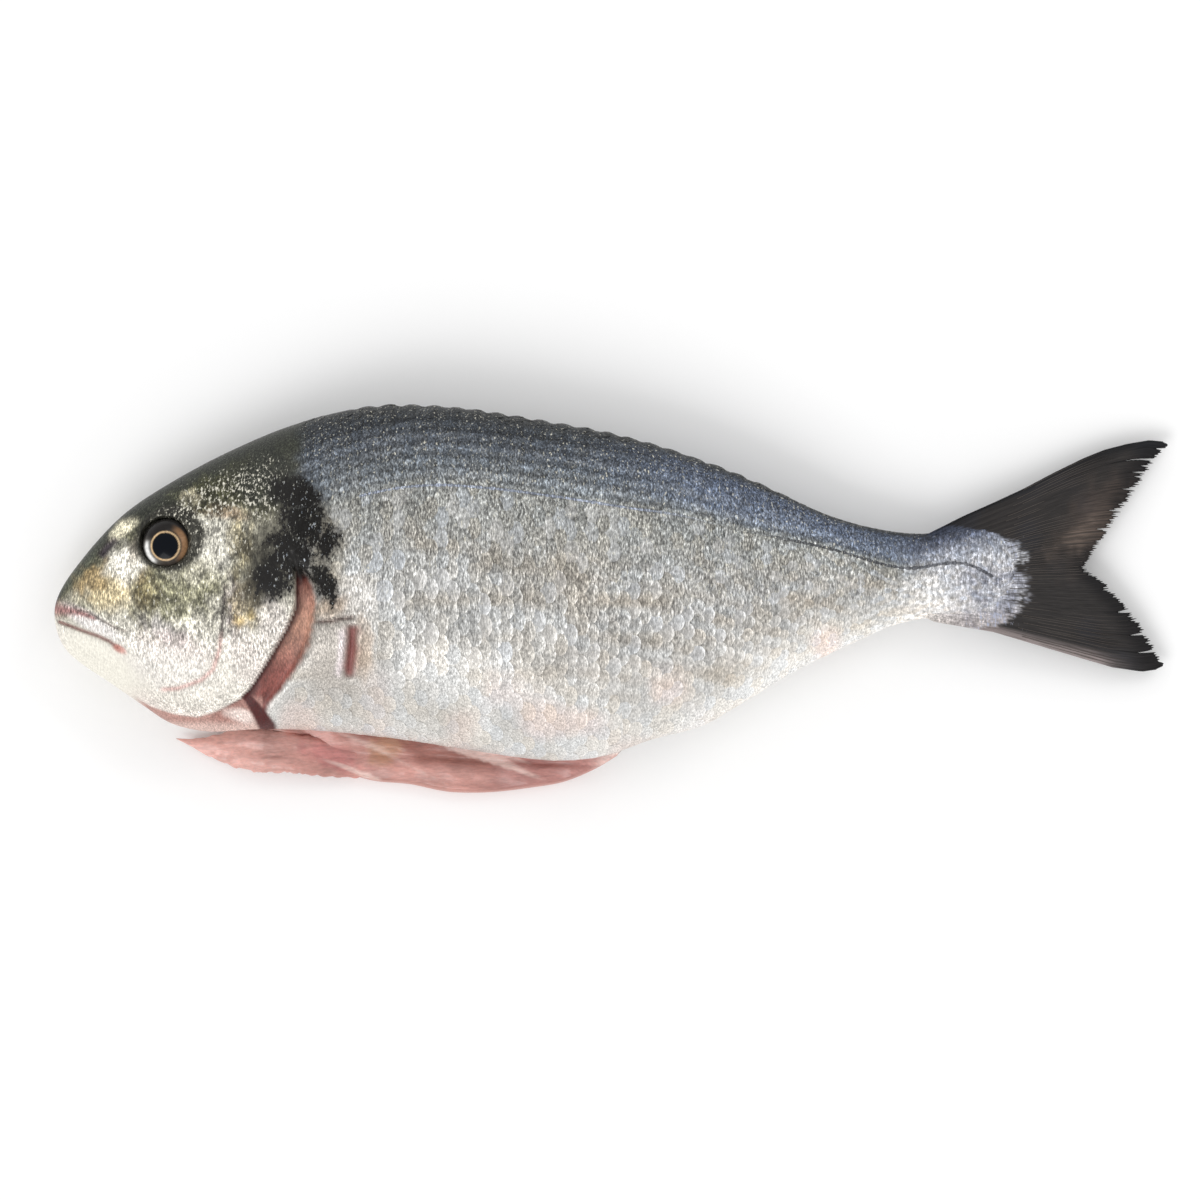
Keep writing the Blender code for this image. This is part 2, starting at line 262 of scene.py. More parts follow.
@dataclass(frozen=True)
class FishForm:
    """The body's shape: outlines, thickness and the carved forms of the flank."""

    total_length: float = 330.0
    body_length: float = 286.0
    rest_mid_height: float = 18.9
    tail_droop: float = 15.0
    snout_droop: float = 2.5
    wall: float = 3.0
    wall_sag: float = 6.5
    flap_edge_height: float = 2.0
    cavity_depth: float = 24.0
    cavity: tuple[float, float, float, float] = (60.0, 74.0, 150.0, 170.0)
    shut_share: float = 0.04
    upper_roundness: float = 0.95
    lower_roundness: float = 1.1
    stump_pitch: float = 6.5
    stump_height: float = 0.95
    back: Profile = Profile((
        (0, -4), (3.25, 5.3), (8, 11.8), (12.1, 16.8), (21, 25.7), (34.3, 34.6), (52, 44),
        (69.7, 51.4), (87.4, 56.1), (105.2, 57.3), (122.9, 56.1), (140.6, 53.2), (158.4, 50.2),
        (176.1, 46.1), (193.8, 40.2), (211.5, 32.8), (229.3, 24.9), (244, 20.9), (256, 19.6),
        (266, 21), (275, 22), (281, 19.5), (286, 9)), 286.0)
    belly: Profile = Profile((
        (0, -4), (3.25, -14.5), (7.7, -18.6), (16.5, -24.5), (26.3, -31.2), (34.3, -36.3),
        (43.1, -38.6), (61.5, -38.2), (74, -38.5), (96.3, -40.5), (125.8, -44.9), (137.7, -46.7),
        (149.5, -47.6), (161.3, -46.4), (176.1, -41.4), (193.8, -36.2), (202.7, -30.9),
        (220.4, -20.4), (238.1, -11.9), (247, -7.9), (256, -5.6), (266, -5.4), (275, -4.9),
        (281, -2), (286, 9)), 286.0)
    half_width: Profile = Profile((
        (0, 0), (3.25, 4.4), (8, 6.6), (16, 9.2), (30, 12.9), (45, 15.6), (60, 17.7), (80, 19.5),
        (105, 20.4), (130, 20), (160, 17.8), (190, 14), (215, 10.4), (240, 7.2), (255, 5.6),
        (266, 4), (274, 2.8), (280, 1.8), (286, 0)), 286.0)
    flap_edge: Profile = Profile((
        (60, -38.2), (67, -38.9), (72, -40.6), (79, -46.4), (85.5, -51), (92, -53.3), (105, -54.8),
        (116, -57), (125, -57.3), (140, -55.9), (152, -53.6), (160, -50), (170, -43.6)))
    shoulder_edge: Profile = Profile((
        (-38, 60.5), (-30, 63), (-25.2, 67), (-19.5, 71), (-14.5, 74), (-7, 76), (0, 76.6),
        (11, 73.4)))
    cheek_edge: Profile = Profile((
        (-26.5, 42), (-24, 46.5), (-19, 49), (-10, 50), (-2, 50.8), (4, 51.2)))
    side_line: Profile = Profile((
        (70, 22), (84.5, 28.4), (101.9, 32.8), (114.9, 33.7), (125.6, 33.1), (148, 30.4),
        (170.8, 26.9), (183.8, 25.1), (199.4, 21.3), (229.3, 15.1), (250.5, 9.5), (271.8, 10),
        (278, 6.8)))
    gill_edge: SkinLine = SkinLine((
        (25.7, -29), (29, -31), (35.7, -33.1), (42.2, -34), (48.7, -32.2), (55.5, -28.7),
        (59, -24.5), (64, -16.8), (68.8, -8.6), (71.4, -3), (71.8, 2), (71.2, 11.2), (68, 17)))
    cheek_groove: SkinLine = SkinLine((
        (51.3, 6), (50.9, 0), (50.4, -7.1), (49.6, -14.5), (47.6, -20.4), (44, -23.6),
        (37.2, -26), (31, -26.5)))
    mouth: SkinLine = SkinLine((
        (0.8, -6.2), (4.5, -7.5), (8.5, -9), (13.3, -10.6), (16.8, -12.2), (20, -14.6)))
    upper_lip: SkinLine = SkinLine((
        (6, -2.4), (11, -3.8), (14.5, -6), (18.5, -8.2), (23.2, -9.6)))
    lip_band: SkinLine = SkinLine(((-1.2, -2.6), (2.5, -2.9), (6.5, -3.4), (10, -4.4), (13.5, -6)))
    nostril: SkinLine = SkinLine(((13.8, 12.4), (15.4, 14.6), (17.2, 16.7), (19.2, 18.6)))
    throat_gap: SkinLine = SkinLine(((56.2, -28), (58.6, -31), (60.6, -34), (62.6, -37.6)))
    stump_slit: SkinLine = SkinLine(((88.9, -6.6), (88.6, -12), (88, -18), (87.2, -23.4)))
    pad_fold: SkinLine = SkinLine(((77.4, -6.6), (82, -6.2), (86.5, -5.4), (90, -5)))
    cleft: SkinLine = SkinLine(((70.2, 15), (72, 10.5), (73.6, 6), (74.4, 1)))
    eye_place: Pair = (33.2, 17.2)
    eye_radius: float = 7.6

    @property
    def snout_x(self) -> float:
        """Where the snout is, in millimetres along X."""
        return -self.total_length / 2

    def places(self, piece: Piece) -> tuple[Array, Array]:
        """Distance and height of each of a piece's points."""
        at = MeshTools.places(piece)
        return at[:, 0] - self.snout_x, at[:, 1]

    def mid_height(self, distance: Array) -> Array:
        """Height of the middle sheet: the tail hangs down to the surface, the snout a little.

        Args:
            distance: Distances behind the snout.

        Returns:
            Z of the sheet, in millimetres.
        """
        tailwards = np.clip((distance - 140) / (self.total_length - 140), 0, 1)
        snoutwards = np.clip((105 - distance) / 105, 0, 1)
        droop = self.tail_droop * tailwards**1.7 + self.snout_droop * snoutwards**2
        return self.rest_mid_height - droop

    def cavity_share(self, distance: Array) -> Array:
        """0 where the belly is shut, 1 where it lies fully open.

        Args:
            distance: Distances behind the snout.

        Returns:
            Values from 0 to 1.
        """
        start, full, end, shut = self.cavity
        share = ease(start, full, distance) * (1 - ease(end, shut, distance))
        return np.where(share < self.shut_share, 0.0, share)

    def ridge(self, distance: Array) -> Array:
        """The back outline, with the low row of bumps where the dorsal fin was.

        Args:
            distance: Distances behind the snout.

        Returns:
            Heights of the back's edge.
        """
        drift = 1.6 * soft_noise(distance, 0, 23, 5)
        wave = np.abs(np.sin(math.pi * distance / self.stump_pitch + drift))
        rows = ease(84, 92, distance) * (1 - ease(206, 222, distance))
        size = self.stump_height * (0.6 + 0.8 * soft_noise(distance, 0, 9, 6))
        return self.back(distance) + size * rows * (wave**0.7 - 0.45)

    def gill_trough(self, distance: Array, height: Array) -> Array:
        """1 in the open gill slit between the cover's edge and the shoulder.

        Args:
            distance: Distances behind the snout.
            height: Heights above the middle line.

        Returns:
            Values from 0 to 1.
        """
        behind, _ = self.gill_edge.offset(distance, height)
        before = self.shoulder_edge(height) - distance
        slit = ease(0.0, 0.7, -behind) * ease(-3.2, 1.2, before)
        ends = ease(-45, -38, height) * (1 - ease(5, 12, height))
        return slit * ends * ease(44, 52, distance)

    def head_relief(self, distance: Array, height: Array) -> Array:
        """Height of the bones and edges of the head, in millimetres.

        Args:
            distance: Distances behind the snout.
            height: Heights above the middle line.

        Returns:
            Millimetres outwards.
        """
        at = (distance, height)
        outside = -self.gill_edge.offset(*at)[0]
        cover = ease(-14, -2, outside) * (1 - ease(-1.2, 0.2, outside))
        cover *= ease(24, 36, distance) * (1 - ease(4, 18, height))
        strip = ease(0.0, 0.8, outside) * (1 - ease(-30, -27, height))
        strip *= ease(22, 30, distance) * (1 - ease(52, 60, distance))
        behind = distance - self.cheek_edge(height)
        cheek = ease(-9, -0.8, behind) * (1 - ease(-0.2, 1.2, behind))
        cheek *= ease(-29, -24, height) * (1 - ease(0, 6, height))
        brow = np.exp(-((distance - 29) / 9) ** 2 - ((height - 27) / 3.2) ** 2)
        lobe = Patch((25, 14.4), (2.4, 4.4), -18, 0.5).mask(*at)
        jawbone = Patch((11.5, -6.6), (8.5, 2.1), -30, 0.4).mask(*at)
        lip = Patch((2.6, -2.6), (4.6, 3.4), -25, 0.4).mask(*at)
        jaw = Patch((12, -15.5), (12, 4.5), -28, 0.5).mask(*at)
        made = 0.7 * cover - 1.3 * strip + 0.6 * cheek + 0.5 * brow + 0.5 * lobe
        made += 0.35 * jawbone + 0.5 * lip + 0.4 * jaw
        made -= 0.8 * self.cheek_groove.groove(*at, 0.8)
        made -= 1.2 * self.mouth.groove(*at, 0.6, 0.05)
        made -= 0.5 * self.upper_lip.groove(*at, 0.5)
        return made - 1.5 * self.nostril.groove(*at, 1.0)

    def shoulder_relief(self, distance: Array, height: Array) -> Array:
        """Height of the gill slit, the breast fin's stump and the folds by it, in millimetres.

        Args:
            distance: Distances behind the snout.
            height: Heights above the middle line.

        Returns:
            Millimetres outwards.
        """
        at = (distance, height)
        pad = np.exp(-((distance - 82) / 5.5) ** 2 - ((height + 14) / 8) ** 2)
        rims = self.stump_slit.groove(distance + 2.6, height, 1.3)
        rims += self.stump_slit.groove(distance - 2.2, height, 1.1)
        made = 0.8 * pad + 0.45 * rims - 3.4 * self.gill_trough(*at)
        made -= 1.9 * self.stump_slit.groove(*at, 1.1, 0.08)
        made -= 0.8 * self.pad_fold.groove(*at, 0.6)
        return made - 0.7 * self.cleft.groove(*at, 0.8)

    def eye_socket(self, distance: Array, height: Array) -> Array:
        """The pit for the eyeball, with a low rim round it.

        Args:
            distance: Distances behind the snout.
            height: Heights above the middle line.

        Returns:
            Millimetres outwards.
        """
        off = np.hypot(distance - self.eye_place[0], height - self.eye_place[1])
        pit = 1 - ease(self.eye_radius - 1.2, self.eye_radius + 0.1, off)
        rim = np.exp(-((off - self.eye_radius - 1.1) / 0.8) ** 2)
        return 0.45 * rim - 3.6 * pit

    def relief(self, distance: Array, height: Array) -> Array:
        """Height of all carved forms above the plain flank, in millimetres.

        Args:
            distance: Distances behind the snout.
            height: Heights above the middle line.

        Returns:
            Millimetres outwards.
        """
        at = (distance, height)
        made = self.head_relief(*at) + self.shoulder_relief(*at)
        made += 0.5 * (soft_noise(*at, 17, 2) - 0.5) * ease(8, 40, distance)
        made += 0.3 * (soft_noise(*at, 4.5, 3) - 0.5) * ease(4, 20, distance)
        return made + self.eye_socket(*at)

    def flank(self, distance: Array, angle: Array, side: Side,
              pitted: bool = True) -> tuple[Array, Array]:
        """The skin of one flank.

        Args:
            distance: Distances behind the snout, in any shape that fits the angles.
            angle: 0 at the back edge and pi at the belly edge.
            side: Which flank.
            pitted: Whether the eye's pit is cut.

        Returns:
            Height and Z of each place, in millimetres.
        """
        top, belly = self.ridge(distance), self.belly(distance)
        share = self.cavity_share(distance)
        edge = belly
        if side is Side.RIGHT:
            edge = np.where(share > 0, np.minimum(belly, self.flap_edge(distance)), belly)
        centre = 0.53 * self.back(distance) + 0.47 * belly
        middle = self.mid_height(distance)
        upper = angle < math.pi / 2
        height = centre + np.where(upper, top - centre, centre - edge) * np.cos(angle)
        lift = np.clip(np.sin(angle), 0, 1)
        roundness = np.where(upper, self.upper_roundness, self.lower_roundness)
        swell = self.half_width(distance) * lift**roundness
        carved = self.relief(distance, height)
        if not pitted:
            carved = carved - self.eye_socket(distance, height)
        swell = np.maximum(swell + carved * lift**0.6, 0.4 * swell)
        near_belly = ease(1.9, math.pi, angle)
        if side is Side.LEFT:
            z = middle + swell - self.wall_sag * share * near_belly
        else:
            z = middle - swell - (middle - self.flap_edge_height) * share * near_belly
        return height, np.maximum(z, 0.0)

    def level(self, distance: float, height: float, side: Side) -> float:
        """Z of the flank at one place, without the eye's pit.

        Args:
            distance: Distances behind the snout.
            height: Heights above the middle line.
            side: Which flank.

        Returns:
            Z in millimetres.
        """
        angle = np.linspace(0, math.pi, 361)[None, :]
        heights, z = self.flank(np.array([[distance]]), angle, side, pitted=False)
        return float(np.interp(-height, -heights[0], z[0]))


@dataclass(frozen=True)
class FishPaint:
    """The fish's markings, with painted shade in the gill slit and by the throat and painted glints on the
    body, as formulas over distance and height, in display colours.
    """

    form: FishForm
    upper_bands: tuple[Band, ...] = (
        (0.0, (136, 138, 136)), (0.12, (118, 122, 125)), (0.3, (98, 103, 108)),
        (0.55, (82, 87, 94)), (0.8, (54, 58, 63)), (1.0, (36, 38, 39)))
    lower_bands: tuple[Band, ...] = (
        (0.0, (138, 139, 136)), (0.12, (152, 152, 148)), (0.35, (186, 186, 184)),
        (0.6, (191, 189, 185)), (0.8, (203, 201, 197)), (0.95, (211, 209, 205)),
        (1.0, (216, 212, 207)))
    head_bands: tuple[Band, ...] = (
        (0.0, (216, 204, 196)), (0.1, (226, 220, 210)), (0.3, (216, 212, 202)),
        (0.4, (190, 186, 174)), (0.55, (158, 155, 138)), (0.7, (166, 162, 146)),
        (0.82, (98, 96, 78)), (0.92, (54, 56, 46)), (1.0, (40, 42, 37)))
    tail_bands: tuple[Band, ...] = (
        (0.0, (238, 232, 226)), (0.25, (226, 224, 222)), (0.5, (196, 196, 198)),
        (0.66, (146, 150, 160)), (0.8, (78, 84, 100)), (0.92, (46, 50, 62)), (1.0, (30, 32, 38)))
    gill_bands: tuple[Band, ...] = (
        (0.0, (104, 48, 44)), (0.3, (138, 82, 74)), (0.62, (182, 138, 118)), (0.82, (168, 122, 108)),
        (0.92, (92, 46, 42)), (1.0, (44, 20, 20)))
    head_patches: tuple[Patch, ...] = (
        Patch((8.5, 11.5), (9.5, 2.0), 52, 0.6, 0.3, (92, 96, 80), 0.75),
        Patch((17, 3.4), (7.5, 5.6), 0, 0.5, 0.5, (212, 194, 154), 0.8),
        Patch((12.2, 6.2), (6.2, 3.6), 35, 0.5, 0.8, (150, 126, 84), 0.7),
        Patch((21.5, 10.4), (5.4, 5.4), -30, 0.5, 0.4, (240, 236, 224), 0.85),
        Patch((20.4, 20.8), (4.8, 2.1), 40, 0.5, 0.6, (240, 233, 204), 0.95),
        Patch((27.3, 3.0), (2.2, 6.4), -10, 0.6, 1.1, (120, 100, 60), 0.8),
        Patch((36, 2.0), (11, 9.5), 25, 0.5, 0.9, (118, 116, 90), 0.8),
        Patch((28, 0.0), (4, 6.0), -20, 0.6, 1.0, (96, 88, 64), 0.7),
        Patch((42, 8.0), (6, 4.0), 10, 0.6, 1.0, (176, 172, 156), 0.6),
        Patch((33, -9.0), (6.5, 3.0), -20, 0.6, 1.2, (128, 124, 126), 0.65),
        Patch((36, -14.5), (10, 4.5), -15, 0.6, 0.4, (222, 206, 202), 0.5),
        Patch((33, -20), (13, 5.5), -12, 0.5, 0.3, (224, 219, 212), 0.8),
        Patch((13, -18.5), (14, 6.2), -38, 0.4, 0.0, (234, 230, 218), 0.95),
        Patch((53.6, -2.0), (2.2, 7.5), 0, 0.6, 0.8, (120, 106, 116), 0.6),
        Patch((59, -0.5), (6.0, 7.0), 0, 0.5, 1.2, (108, 98, 76), 0.85),
        Patch((55.6, -6.8), (2.2, 1.6), 20, 0.8, 0.8, (216, 184, 112), 0.75),
        Patch((58.6, -4.6), (1.8, 1.4), 10, 0.8, 0.8, (216, 190, 128), 0.6),
        Patch((66, -7.0), (4.4, 8.0), 12, 0.4, 0.5, (208, 201, 194), 0.9),
        Patch((59, -18), (6, 9), 35, 0.5, 0.3, (212, 203, 196), 0.8),
        Patch((48.5, 17.5), (6.8, 9.0), 15, 0.4, 0.6, (190, 187, 176), 0.9),
        Patch((56.5, 16), (3.0, 8.0), 10, 0.6, 1.0, (160, 148, 112), 0.65),
        Patch((61.5, 10), (5.6, 9.0), 5, 0.8, 0.8, (54, 52, 45), 0.92),
        Patch((48.5, 26.3), (8.8, 2.1), -8, 0.6, 0.4, (146, 126, 104), 0.75),
        Patch((50, 33), (16, 5.6), 20, 0.5, 0.8, (60, 60, 38), 0.9),
        Patch((62, 30), (9, 5.0), -35, 0.6, 0.8, (58, 58, 40), 0.9),
        Patch((40.6, 29.6), (2.9, 2.4), 0, 0.5, 0.8, (228, 218, 186), 0.9),
        Patch((67, 36), (14, 8.0), 0, 0.6, 0.5, (44, 46, 42), 0.85),
        Patch((34, 26.8), (12, 3.2), 12, 0.5, 0.2, (38, 40, 32), 0.9),
        Patch((25, 14.6), (2.5, 4.8), -18, 0.5, 0.3, (104, 96, 86), 0.75),
    )
    flank_patches: tuple[Patch, ...] = (
        Patch((90, 1), (6.5, 5.5), -30, 0.6, 0.5, (226, 222, 217), 0.8),
        Patch((80, 14), (5, 12), 10, 0.6, 0.6, (164, 154, 132), 0.5))
    pad_patches: tuple[Patch, ...] = (
        Patch((83, -15), (9, 17), 0, 0.5, 0.0, (174, 167, 159), 0.8),
        Patch((91.6, -15), (2.6, 8), 0, 0.6, 0.8, (178, 152, 128), 0.5),
        Patch((81, -2.4), (5.5, 3), 20, 0.6, 0.6, (178, 154, 130), 0.6))
    flesh_patches: tuple[Patch, ...] = (
        Patch((81, -46.5), (9, 3.4), -18, 0.5, 0.5, (192, 122, 118), 0.85),
        Patch((97, -44), (5, 4), 0, 0.6, 0.9, (190, 140, 104), 0.6))
    soot_patches: tuple[Patch, ...] = (
        Patch((74, 22), (8.4, 8.5), 0, 0.8, 0.4), Patch((70, 13), (8.6, 9), 0, 0.8, 0.4),
        Patch((65, 6.0), (7.2, 6.2), 10, 0.8, 0.4), Patch((80.5, 5.5), (4.2, 7.4), 18, 0.7, 0.4),
        Patch((72, 31), (8, 6), -30, 0.8, 0.4), Patch((81, 17), (4.5, 6), -20, 0.8, 0.5))

    @staticmethod
    def banded(bands: tuple[Band, ...], share: Array) -> Array:
        """Linear colour for each share along a row of bands.

        Args:
            bands: Stops with their display colours.
            share: Shares to look up.

        Returns:
            Linear colours.
        """
        stops = [band[0] for band in bands]
        colours = np.array([linear(band[1]) for band in bands])
        return np.stack([np.interp(share, stops, colours[:, k]) for k in range(3)], axis=-1)

    @staticmethod
    def over(base: Array, colour: Colour, mask: Array) -> Array:
        """Lays a display colour over a base by a mask."""
        return base + (linear(colour) - base) * np.clip(mask, 0, 1)[..., None]

    def patched(self, base: Array, patches: tuple[Patch, ...], distance: Array, height: Array) -> Array:
        """Lays a row of soft ovals over a base, in their order.

        Args:
            base: The colours below.
            patches: The ovals, with their tints.
            distance: Distances behind the snout.
            height: Heights above the middle line.

        Returns:
            The new colours.
        """
        for patch in patches:
            base = self.over(base, patch.tint, patch.strength * patch.mask(distance, height))
        return base

    def below_line(self, distance: Array, height: Array) -> Array:
        """0 on the side line, 1 at the belly edge."""
        line = self.form.side_line(distance)
        return (line - height) / np.maximum(line - self.form.belly(distance), 1)

    def flank_tint(self, distance: Array, height: Array) -> Array:
        """Colours of the scaled body, from dark back to pale belly.

        Args:
            distance: Distances behind the snout.
            height: Heights above the middle line.

        Returns:
            Linear colours.
        """
        at = (distance, height)
        line = self.form.side_line(distance)
        up = (height - line) / np.maximum(self.form.back(distance) - line, 1)
        down = self.below_line(*at)
        above, below = self.banded(self.upper_bands, up), self.banded(self.lower_bands, down)
        tint = np.where((up > 0)[..., None], above, below)
        rows = np.cos(2 * math.pi * (height - line) / 3.7) * (1 - ease(0.8, 1, up))
        tint *= (1 + 0.3 * rows * ease(0.03, 0.12, up))[..., None]
        rear = ease(150, 200, distance) * (1 - ease(262, 285, distance))
        blue = rear * ease(0.05, 0.3, up) * (1 - ease(0.8, 1, up))
        tint = self.over(tint, (104, 116, 140), 0.4 * blue)
        middle = ease(0.12, 0.3, down) * (1 - ease(0.75, 0.95, down))
        warm = ease(0.5, 0.95, soft_noise(distance / 4, height, 5.5, 11))
        tint = self.over(tint, (166, 154, 136), 0.5 * middle * warm)
        stripes = 0.5 + 0.5 * np.cos(2 * math.pi * (line - height) / 5.6)
        fade = ease(135, 160, distance) * (1 - ease(225, 240, distance))
        tint = self.over(tint, (160, 150, 138), 0.28 * middle * stripes * fade)
        blush = ease(0.55, 0.9, soft_noise(*at, 12, 13))
        tint = self.over(tint, (220, 192, 182), 0.4 * blush * ease(0.62, 0.85, down))
        tint = self.patched(tint, self.flank_patches, *at)
        tint *= (0.88 + 0.24 * soft_noise(*at, 9, 17))[..., None]
        lift = ease(145, 205, distance) * ease(0.4, 0.8, down)
        tint *= (1 + 0.3 * lift)[..., None]
        return self.tail_tint(*at, tint)

    def tail_tint(self, distance: Array, height: Array, tint: Array) -> Array:
        """Blends a tint into the silver of the tail's root, which fin and body share.

        Args:
            distance: Distances behind the snout.
            height: Heights above the middle line.
            tint: The linear colours to start from.

        Returns:
            Linear colours.
        """
        top = np.interp(distance, (244, 256, 269, 287), (20.9, 19.6, 25.7, 33))
        low = np.interp(distance, (244, 256, 278, 296), (-9, -4.8, -9.5, -14.8))
        root = self.banded(self.tail_bands, np.clip((height - low) / (top - low), 0, 1))
        blue = ease(260, 274, distance) * (0.45 + 0.55 * soft_noise(distance, height, 1.8, 27))
        root = self.over(root, (114, 118, 136), 0.85 * blue * (1 - ease(7, 14, height)))
        root *= (1 + 0.16 * (1 - ease(248, 262, distance)))[..., None]
        mauve = ease(256, 268, distance) * (1 - ease(-7, -1, height))
        root = self.over(root, (166, 156, 152), 0.6 * mauve)
        return tint + (root - tint) * ease(246, 262, distance)[..., None]

    def head_tint(self, distance: Array, height: Array) -> Array:
        """Colours of the head, from dark forehead to cream jaw.

        Args:
            distance: Distances behind the snout.
            height: Heights above the middle line.

        Returns:
            Linear colours.
        """
        at = (distance, height)
        form = self.form
        belly, back = form.belly(distance), form.back(distance)
        share = np.clip((height - belly) / np.maximum(back - belly, 1), 0, 1)
        tint = self.banded(self.head_bands, share)
        tint = self.patched(tint, self.head_patches, *at)
        mottle = soft_noise(distance, height * 0.8, 1.5, 91) + soft_noise(*at, 3.4, 92) - 1
        calm = Patch((14, -19), (19, 10), -38, 0.3).mask(*at)
        busy = Patch((46, 10), (22, 20), 20, 0.4).mask(*at)
        tint = tint * (2.0 ** (mottle * (0.35 + 1.5 * busy) * (1 - calm)))[..., None]
        lens = Patch((11.5, -6.6), (9.4, 2.4), -30, 0.4).mask(*at)
        tint = self.over(tint, (228, 223, 220), 0.85 * lens)
        off, share = form.lip_band.offset(*at)
        band = np.exp(-((off / (2.3 - 1.9 * share)) ** 2)) * (1 - ease(0.9, 1.0, share))
        tint = self.over(tint, (150, 104, 102), 0.9 * band)
        tint = self.over(tint, (140, 92, 88), 0.8 * form.mouth.groove(*at, 0.5, 0.04))
        tint = self.over(tint, (92, 76, 70), 0.7 * form.upper_lip.groove(*at, 0.35))
        corner = Patch((19.6, -14.4), (1.9, 1.0), -30, 0.5, 0.5).mask(*at)
        tint = self.over(tint, (206, 140, 128), 0.8 * corner)
        crease = form.cheek_groove.groove(*at, 0.6, 0.05)
        tint = self.over(tint, (44, 34, 36), 0.95 * crease * ease(-14, -8, height))
        tint = self.over(tint, (200, 148, 142), 0.7 * crease * (1 - ease(-14, -8, height)))
        tint = self.over(tint, (58, 50, 58), 0.9 * form.nostril.groove(*at, 1.5))
        around = Patch((34.9, 18.0), (10.6, 9.6), 25, 0.1).mask(*at)
        tint = self.over(tint, (45, 44, 38), 0.97 * around)
        rim = 1 - ease(0.5, 5.0 + 1.6 * ease(10, 40, distance), back - height)
        rim *= 1 - 0.75 * Patch((20.4, 20.8), (4.8, 2.6), 40, 0.5).mask(*at)
        return self.over(tint, (48, 50, 43), 0.9 * rim * ease(2, 12, distance))

    def soot(self, distance: Array, height: Array) -> Array:
        """0 to 1 for the ragged black patch at the top of the gill cover."""
        masks = [patch.mask(distance, height) for patch in self.soot_patches]
        return np.maximum.reduce(masks)

    def silver_root(self, distance: Array, height: Array) -> Array:
        """1 on the scaled tail root, 0 on the bare dark fin.

        Args:
            distance: Distances behind the snout.
            height: Heights above the middle line.

        Returns:
            Values from 0 to 1.
        """
        edge = Profile(((-12, 264), (-8, 276), (-4, 283), (4, 286), (12, 286), (17, 284), (20.5, 274),
                        (22, 264), (24, 252)))(height)
        wander = 6 * (soft_noise(distance, height, 3.2, 31) - 0.5)
        wander += 3.4 * (soft_noise(distance, height, 0.6, 32) - 0.5)
        return 1 - ease(-1.2, 1.4, distance - edge + wander)

    def throat(self, distance: Array, height: Array) -> Array:
        """1 on the pink strip between the gill cover and the throat's lower edge.

        Args:
            distance: Distances behind the snout.
            height: Heights above the middle line.

        Returns:
            Values from 0 to 1.
        """
        outside = -self.form.gill_edge.offset(distance, height)[0]
        strip = ease(0.2, 0.9, outside) * (1 - ease(-29.5, -27.5, height))
        return strip * ease(23, 28, distance) * (distance < 62)

    def skin(self, distance: Array, height: Array) -> dict[str, Array]:
        """All that the skin's shader reads.

        Args:
            distance: Distances behind the snout.
            height: Heights above the middle line.

        Returns:
            The tint, with its painted shade, and the strength of black soot, pale flecks with painted
            glints on the body, blotches, fine grain and silver.
        """
        at = (distance, height)
        form = self.form
        neck = np.where(height > 11, 70 + 0.1 * (height - 11), form.shoulder_edge(height))
        on_body = ease(-3.5, 3.5, distance - neck + 3 * (soft_noise(*at, 3, 8) - 0.5))
        head, flank = self.head_tint(*at), self.flank_tint(*at)
        tint = head + (flank - head) * on_body[..., None]
        tint = self.patched(tint, self.pad_patches, *at)
        torn = 0.7 + 0.7 * soft_noise(*at, 2.4, 94)
        slit = form.stump_slit.groove(*at, 1.5 * torn, 0.14)
        pale = form.stump_slit.groove(distance + 3.0, height + 0.6, 0.9 * torn, 0.2)
        tint = self.over(tint, (226, 216, 218), 0.8 * pale)
        tint = self.over(tint, (148, 84, 80), 0.95 * slit)
        # Painted shade: a darker red line just in front of the slit's middle, on its shaded front wall.
        slit_shade = form.stump_slit.groove(distance + 0.5, height, 0.5 * torn, 0.2)
        tint = self.over(tint, (84, 34, 34), 0.5 * slit_shade)
        tint = self.over(tint, (72, 50, 46), 0.85 * form.pad_fold.groove(*at, 0.7))
        trough = form.gill_trough(*at)
        gill = self.banded(self.gill_bands, np.clip((height + 34) / 44, 0, 1))
        strand = soft_noise(distance * 1.2 - height * 0.6, height / 3, 1.3, 14) - 0.5
        gill = gill * (1 + 0.7 * strand)[..., None]
        near_edge = -form.gill_edge.offset(*at)[0]
        # Painted shadow: the slit turns dark red along the gill cover's edge, where the cover shades it.
        gill = self.over(gill, (52, 14, 14), 0.92 * (1 - ease(0.6, 3.0, near_edge)))
        frayed = trough + 0.35 * (soft_noise(*at, 1.1, 95) - 0.5) * (near_edge > 1.5)
        tint = tint + (gill - tint) * ease(0.1, 0.8, frayed)[..., None]
        cleft = form.cleft.groove(*at, 0.9)
        tint = self.over(tint, (50, 20, 20), 0.85 * cleft * ease(3, 8, height))
        # The gap mask below is painted shade in the narrow gap between the throat strip and the gill
        # cover.
        off, share = form.throat_gap.offset(*at)
        gap = (1 - ease(0.4, 0.7, np.abs(off - 0.5) / (2.0 + 2.6 * share))) * (share > 0)
        gap = gap * (height > form.belly(distance) - 0.5)
        throat = self.throat(*at)
        tint = self.over(tint, (174, 130, 120), 0.92 * throat)
        tint = self.over(tint, (214, 186, 176), 0.8 * throat * ease(-35, -37.5, height))
        lobe = Patch((55.4, -34.2), (4.6, 2.0), -18, 0.5, 0.4).mask(*at)
        tint = self.over(tint, (238, 222, 214), 0.85 * lobe)
